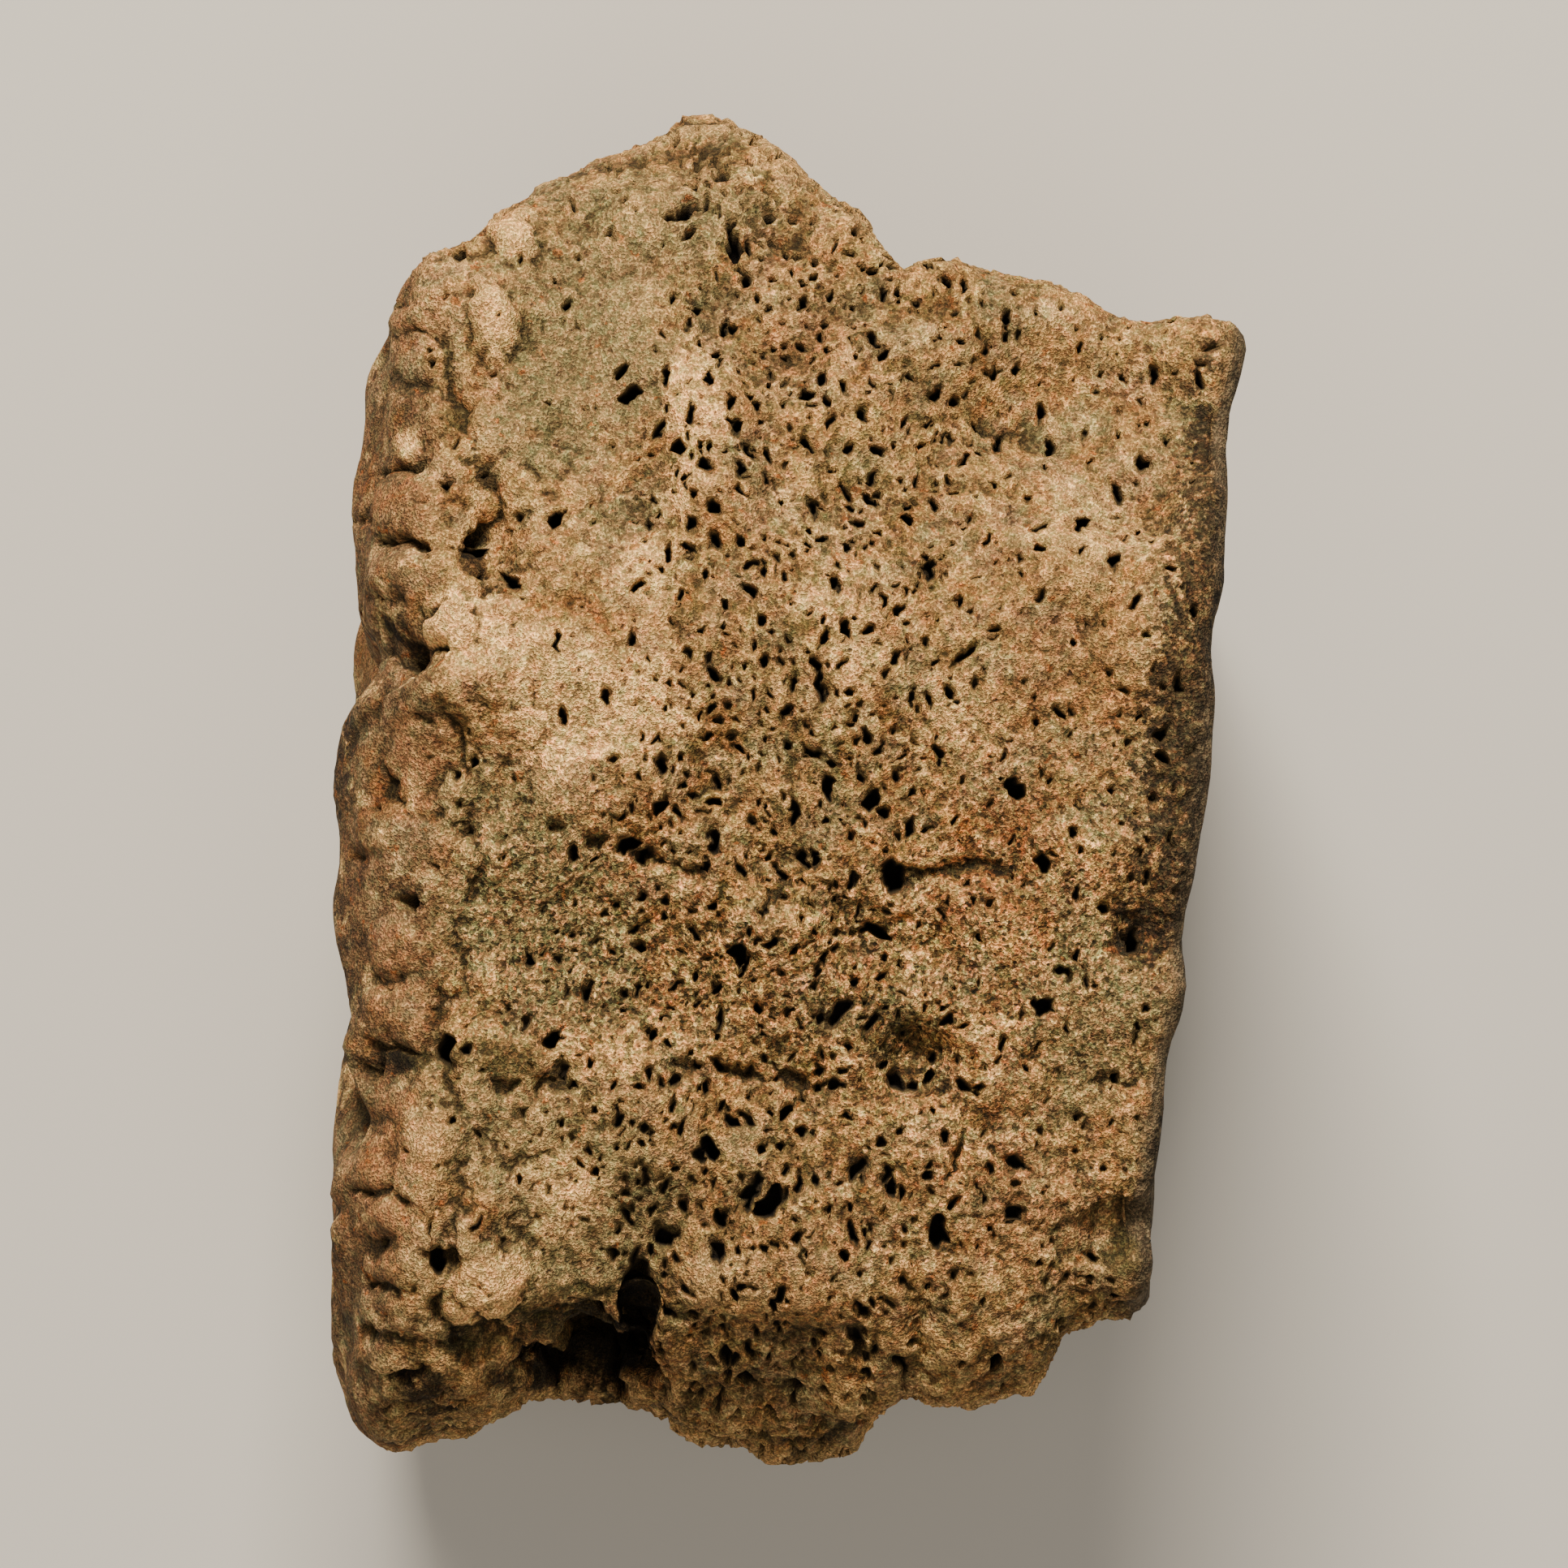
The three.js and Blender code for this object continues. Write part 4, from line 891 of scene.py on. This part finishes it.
# ---- The bone's material ----
def srgb(hex_colour):
    """An sRGB hex colour as linear red, green, blue and alpha."""
    parts = [int(hex_colour[i : i + 2], 16) / 255 for i in (1, 3, 5)]
    return [c / 12.92 if c <= 0.04045 else ((c + 0.055) / 1.055) ** 2.4 for c in parts] + [1]


def add_node(tree, kind, inputs=None, **settings):
    """Adds one node: its settings by name, then its inputs, each a value or another node's output."""
    node = tree.nodes.new(kind)
    for name, value in settings.items():
        setattr(node, name, value)
    for name, value in (inputs or {}).items():
        if isinstance(value, bpy.types.NodeSocket):
            tree.links.new(value, node.inputs[name])
        else:
            node.inputs[name].default_value = value
    return node


def times_per_metre(millimetres):
    """The scale of a pattern whose lumps are so many millimetres across."""
    return 1 / (millimetres * MM)


def blend(tree, share, under, over, how="MIX"):
    """Lays one colour over another by a share from 0 to 1."""
    inputs = {"Factor": share, "A": under, "B": over}
    return add_node(tree, "ShaderNodeMix", inputs, data_type="RGBA", blend_type=how).outputs["Result"]


def field(tree, name):
    """A field of the mesh, from 0 to 1."""
    return add_node(tree, "ShaderNodeAttribute", attribute_name=name).outputs["Fac"]


def stain(tree, under, name, uneven):
    """Lays a stain's colour where its field is high, its edges and its inside broken by an uneven noise."""
    colour, most = STAIN_COLOURS[name]
    inputs = {0: uneven, 1: STAIN_BROKEN[1], 2: STAIN_BROKEN[0]}
    broken = add_node(tree, "ShaderNodeMath", inputs, operation="MULTIPLY_ADD").outputs[0]
    there = scaled(tree, broken, field(tree, name))
    begins, full = STAIN_EDGE
    inputs = {"Value": there, "From Min": begins, "From Max": full, "To Max": most}
    share = add_node(tree, "ShaderNodeMapRange", inputs, interpolation_type="SMOOTHSTEP")
    return blend(tree, share.outputs["Result"], under, srgb(colour))


def noise_share(tree, place, millimetres, detail, low, high, roughness=0.6):
    """A noise of a given size, stretched so that its low and high levels become 0 and 1."""
    inputs = {"Vector": place, "Scale": times_per_metre(millimetres), "Detail": detail}
    inputs["Roughness"] = roughness
    pattern = add_node(tree, "ShaderNodeTexNoise", inputs).outputs["Fac"]
    inputs = {"Value": pattern, "From Min": low, "From Max": high}
    return add_node(tree, "ShaderNodeMapRange", inputs).outputs["Result"]


def tiny_holes(tree, place):
    """1 inside tiny round holes: the distance from each cell's middle, less that cell's own random width."""
    cells = add_node(tree, "ShaderNodeTexVoronoi", {"Vector": place, "Scale": times_per_metre(HOLE_CELL)})
    random = add_node(tree, "ShaderNodeSeparateColor", {"Color": cells.outputs["Color"]}).outputs["Red"]
    inputs = {"Value": random, "From Min": CELLS_WITHOUT, "To Max": WIDEST_HOLE}
    width = add_node(tree, "ShaderNodeMapRange", inputs).outputs["Result"]
    inputs = {0: width, 1: cells.outputs["Distance"]}
    within = add_node(tree, "ShaderNodeMath", inputs, operation="SUBTRACT").outputs[0]
    inputs = {"Value": within, "From Max": HOLE_EDGE}
    return add_node(tree, "ShaderNodeMapRange", inputs).outputs["Result"]


def between_struts(tree, place):
    """1 in the soft hollows between the sponge's struts: where a noise that is stretched along y is low."""
    size, stretch, full, ends = STRUTS
    detail, rough = STRUT_NOISE
    inputs = {"Vector": place, "Scale": (1, 1 / stretch, 1)}
    stretched = add_node(tree, "ShaderNodeMapping", inputs).outputs["Vector"]
    return noise_share(tree, stretched, size, detail, ends, full, rough)


def tinted(tree, colour, factors):
    """A colour times factors for its red, green and blue, which may be over 1."""
    return blend(tree, 1.0, colour, [*factors, 1], "MULTIPLY")


def scaled(tree, share, most):
    """A share from 0 to 1 times its greatest strength, a number or another share."""
    return add_node(tree, "ShaderNodeMath", {0: share, 1: most}, operation="MULTIPLY").outputs[0]


def bone_under_stains(tree, place, broad, mottle):
    """Tan bone, browner on the outer face, tinted in patches, with stains, knob tops' painted highlight and
    wavering hue.
    """
    colour = blend(tree, mottle, *map(srgb, BONE))
    outer = blend(tree, mottle, *map(srgb, OUTER_BONE))
    colour = blend(tree, field(tree, "outer"), colour, outer)
    for size, low, high, most, tint in TINTS:
        share = noise_share(tree, place, size, TINT_DETAIL, low, high)
        colour = blend(tree, scaled(tree, share, most), colour, srgb(tint))
    colour = stain(tree, colour, "pink", mottle)
    colour = stain(tree, colour, "sage", broad)
    # pale bone, and painted highlight on the knobs' tops
    colour = stain(tree, colour, "cream_and_highlight", broad)
    colour = stain(tree, colour, "rust", mottle)
    # the colour wavers between olive and orange, in patches and from grain to grain
    detail, low, high, rough = HUE_NOISE
    for size, greener, redder in HUES:
        share = noise_share(tree, place, size, detail, low, high, rough)
        colour = blend(tree, share, tinted(tree, colour, greener), tinted(tree, colour, redder))
    return colour


def with_grit(tree, colour, gritty, random):
    """Splits the colour into grains, each shaded and tinted at random, above all in the gritty belt."""
    grit = blend(tree, random["Red"], *(tinted(tree, colour, factors) for factors in GRIT_SHADES))
    grit = blend(tree, random["Green"], *(tinted(tree, grit, factors) for factors in GRIT_HUES))
    inputs = {"Value": gritty, "To Min": GRIT_ELSEWHERE}
    return blend(tree, add_node(tree, "ShaderNodeMapRange", inputs).outputs["Result"], colour, grit)


def fossil_bone():
    """Fossil bone, grown as sponge, broken and weathered: dull, crumbly, tan, stained by what it lay in."""
    material = bpy.data.materials.new("fossil bone")
    material.use_nodes = True
    tree = material.node_tree
    shader = tree.nodes["Principled BSDF"]
    place = add_node(tree, "ShaderNodeTexCoord").outputs["Object"]
    broad = noise_share(tree, place, *BROAD)
    mottle = noise_share(tree, place, *MOTTLE)
    colour = bone_under_stains(tree, place, broad, mottle)
    # olive grooves between the struts of the sponge, darkened as painted shade, and dark and rusty grains
    share, more = STRUT_SHARE
    inputs = {0: field(tree, "sponge"), 1: more, 2: share}
    in_sponge = add_node(tree, "ShaderNodeMath", inputs, operation="MULTIPLY_ADD").outputs[0]
    struts = scaled(tree, between_struts(tree, place), in_sponge)
    colour = blend(tree, struts, colour, tinted(tree, colour, STRUT_TINT))
    dark_grains = noise_share(tree, place, *DARK_GRAINS)
    colour = blend(tree, scaled(tree, dark_grains, GRAIN_SHARE), colour, srgb("#38281a"))
    rusty_grains = noise_share(tree, place, *RUSTY_GRAINS)
    colour = blend(tree, scaled(tree, rusty_grains, GRAIN_SHARE), colour, srgb("#93501f"))
    # hollows keep dirt, and are darkened further with painted shade
    crevice = field(tree, "crevice")
    begins, full = HOLLOW_DIRT_AND_SHADE
    inputs = {"Value": crevice, "From Min": begins, "From Max": full}
    deep = add_node(tree, "ShaderNodeMapRange", inputs).outputs["Result"]
    colour = blend(tree, deep, colour, srgb("#3a2f1a"))
    # edges wear pale and take a painted highlight, less so on the outer face
    begins, full, most = PALE_WEAR_AND_HIGHLIGHT
    inputs = {"Value": crevice, "From Min": begins, "From Max": full, "To Max": most}
    high = add_node(tree, "ShaderNodeMapRange", inputs).outputs["Result"]
    inputs = {0: field(tree, "outer"), 1: -OUTER_PALE_LESS, 2: 1}
    less = add_node(tree, "ShaderNodeMath", inputs, operation="MULTIPLY_ADD").outputs[0]
    colour = blend(tree, scaled(tree, high, less), colour, srgb("#e4b878"))
    # the darker inner face, dark growth in flecks near it with painted shade down both rims, moss in the
    # damp hollows, and dirt with painted shade deep in the cavity, its slits, the pits and the creases
    inner = blend(tree, mottle, *map(srgb, INNER_BONE))
    colour = blend(tree, field(tree, "inner"), colour, inner)
    # dark flecks, and painted shade down both rims
    colour = stain(tree, colour, "soot_and_rim_shade", noise_share(tree, place, *FLECK))
    colour = stain(tree, colour, "moss", mottle)
    # dirt, and painted shade in the cavity, the pits and the creases
    colour = stain(tree, colour, "dirt_and_shade", mottle)
    # pale grains with dust between them, and grit
    low, high, rough = GRAIN_NOISE
    for size, detail, dark, pale in GRAINS:
        grain = noise_share(tree, place, size, detail, low, high, rough)
        colour = blend(tree, grain, tinted(tree, colour, dark), tinted(tree, colour, pale))
    gritty = field(tree, "gritty")
    inputs = {"Vector": place, "Scale": times_per_metre(GRIT_SIZE)}
    cells = add_node(tree, "ShaderNodeTexVoronoi", inputs).outputs["Color"]
    random = add_node(tree, "ShaderNodeSeparateColor", {"Color": cells}).outputs
    colour = with_grit(tree, colour, gritty, random)
    # painted shade: dark tiny holes in the sponge, brown walls of soil and shade, and black depths of the
    # pores
    tiny = scaled(tree, tiny_holes(tree, place), field(tree, "sponge"))
    colour = blend(tree, scaled(tree, tiny, GRAIN_SHARE), colour, srgb("#3a2612"))
    pore = field(tree, "pore")
    pore_wall_shade = add_node(tree, "ShaderNodeMapRange", {"Value": pore, "From Max": BROWN_WALL_SHADE})
    colour = blend(tree, pore_wall_shade.outputs["Result"], colour, srgb("#423620"))
    begins, full = BLACK_PORE_SHADE
    depth = add_node(tree, "ShaderNodeMapRange", {"Value": pore, "From Min": begins, "From Max": full})
    colour = blend(tree, depth.outputs["Result"], colour, srgb("#0f0904"))
    # grains and grit stand up, tiny holes and the grooves between struts lie low
    inputs = {0: mottle, 1: MOTTLE_BUMP, 2: grain}
    height = add_node(tree, "ShaderNodeMath", inputs, operation="MULTIPLY_ADD").outputs[0]
    for low_place in (tiny, struts):
        inputs = {0: height, 1: low_place}
        height = add_node(tree, "ShaderNodeMath", inputs, operation="SUBTRACT").outputs[0]
    inputs = {0: gritty, 1: random["Red"], 2: height}
    height = add_node(tree, "ShaderNodeMath", inputs, operation="MULTIPLY_ADD").outputs[0]
    strength, deep = BUMP
    inputs = {"Height": height, "Strength": strength, "Distance": deep * MM}
    bump = add_node(tree, "ShaderNodeBump", inputs)
    tree.links.new(colour, shader.inputs["Base Color"])
    tree.links.new(bump.outputs["Normal"], shader.inputs["Normal"])
    shader.inputs["Roughness"].default_value = 0.92
    shader.inputs["Specular IOR Level"].default_value = 0.2
    return material


bone.data.materials.append(fossil_bone())
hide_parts("scute")
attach(bone, "root")

# ---- Floor, light and camera ----
FLOOR_HALF = 2  # metres, and so are the lights' places and sizes
LIT_PLACE = (0, 0, 0.03)  # the lights face the upper part of the scute
CAMERA_HEIGHT = 440.5  # millimetres
corners = [(-1, -1), (1, -1), (1, 1), (-1, 1)]
floor_mesh = bpy.data.meshes.new("floor")
floor_mesh.from_pydata([(FLOOR_HALF * x, FLOOR_HALF * y, 0) for x, y in corners], [], [(0, 1, 2, 3)])
floor = bpy.data.objects.new("floor", floor_mesh)
bpy.context.scene.collection.objects.link(floor)
# a light grey paper, which gives the eye a quiet ground and takes the scute's soft shadow
paper = bpy.data.materials.new("paper")
paper.use_nodes = True
paper_shader = paper.node_tree.nodes["Principled BSDF"]
paper_shader.inputs["Base Color"].default_value = srgb("#cfcbc1")
paper_shader.inputs["Roughness"].default_value = 0.9
floor_mesh.materials.append(paper)

world = bpy.data.worlds.new("studio")
world.use_nodes = True
surroundings = world.node_tree.nodes["Background"]
surroundings.inputs["Color"].default_value = (1, 1, 1, 1)
surroundings.inputs["Strength"].default_value = 0.18
bpy.context.scene.world = world


def soft_light(name, place, size, power):
    """A square lamp of warm light that faces the scute. Its size is in metres and its power in watts."""
    lamp = bpy.data.lights.new(name, "AREA")
    lamp.color = srgb("#fff4e6")[:3]
    lamp.size = size
    lamp.energy = power
    holder = bpy.data.objects.new(name, lamp)
    holder.location = place
    towards = Vector(LIT_PLACE) - Vector(place)
    holder.rotation_euler = towards.to_track_quat("-Z", "Y").to_euler()
    bpy.context.scene.collection.objects.link(holder)


soft_light("key", place=(-0.03, 0.38, 0.42), size=0.16, power=5.6)
soft_light("fill", place=(0, -0.12, 0.6), size=0.3, power=1.1)

camera = bpy.data.objects.new("camera", bpy.data.cameras.new("camera"))
camera.data.lens = 200
camera.data.sensor_width = 36
camera.data.clip_start = 0.01
camera.location = (0, 0, CAMERA_HEIGHT * MM)
bpy.context.scene.collection.objects.link(camera)
bpy.context.scene.camera = camera

bpy.context.view_layer.update()
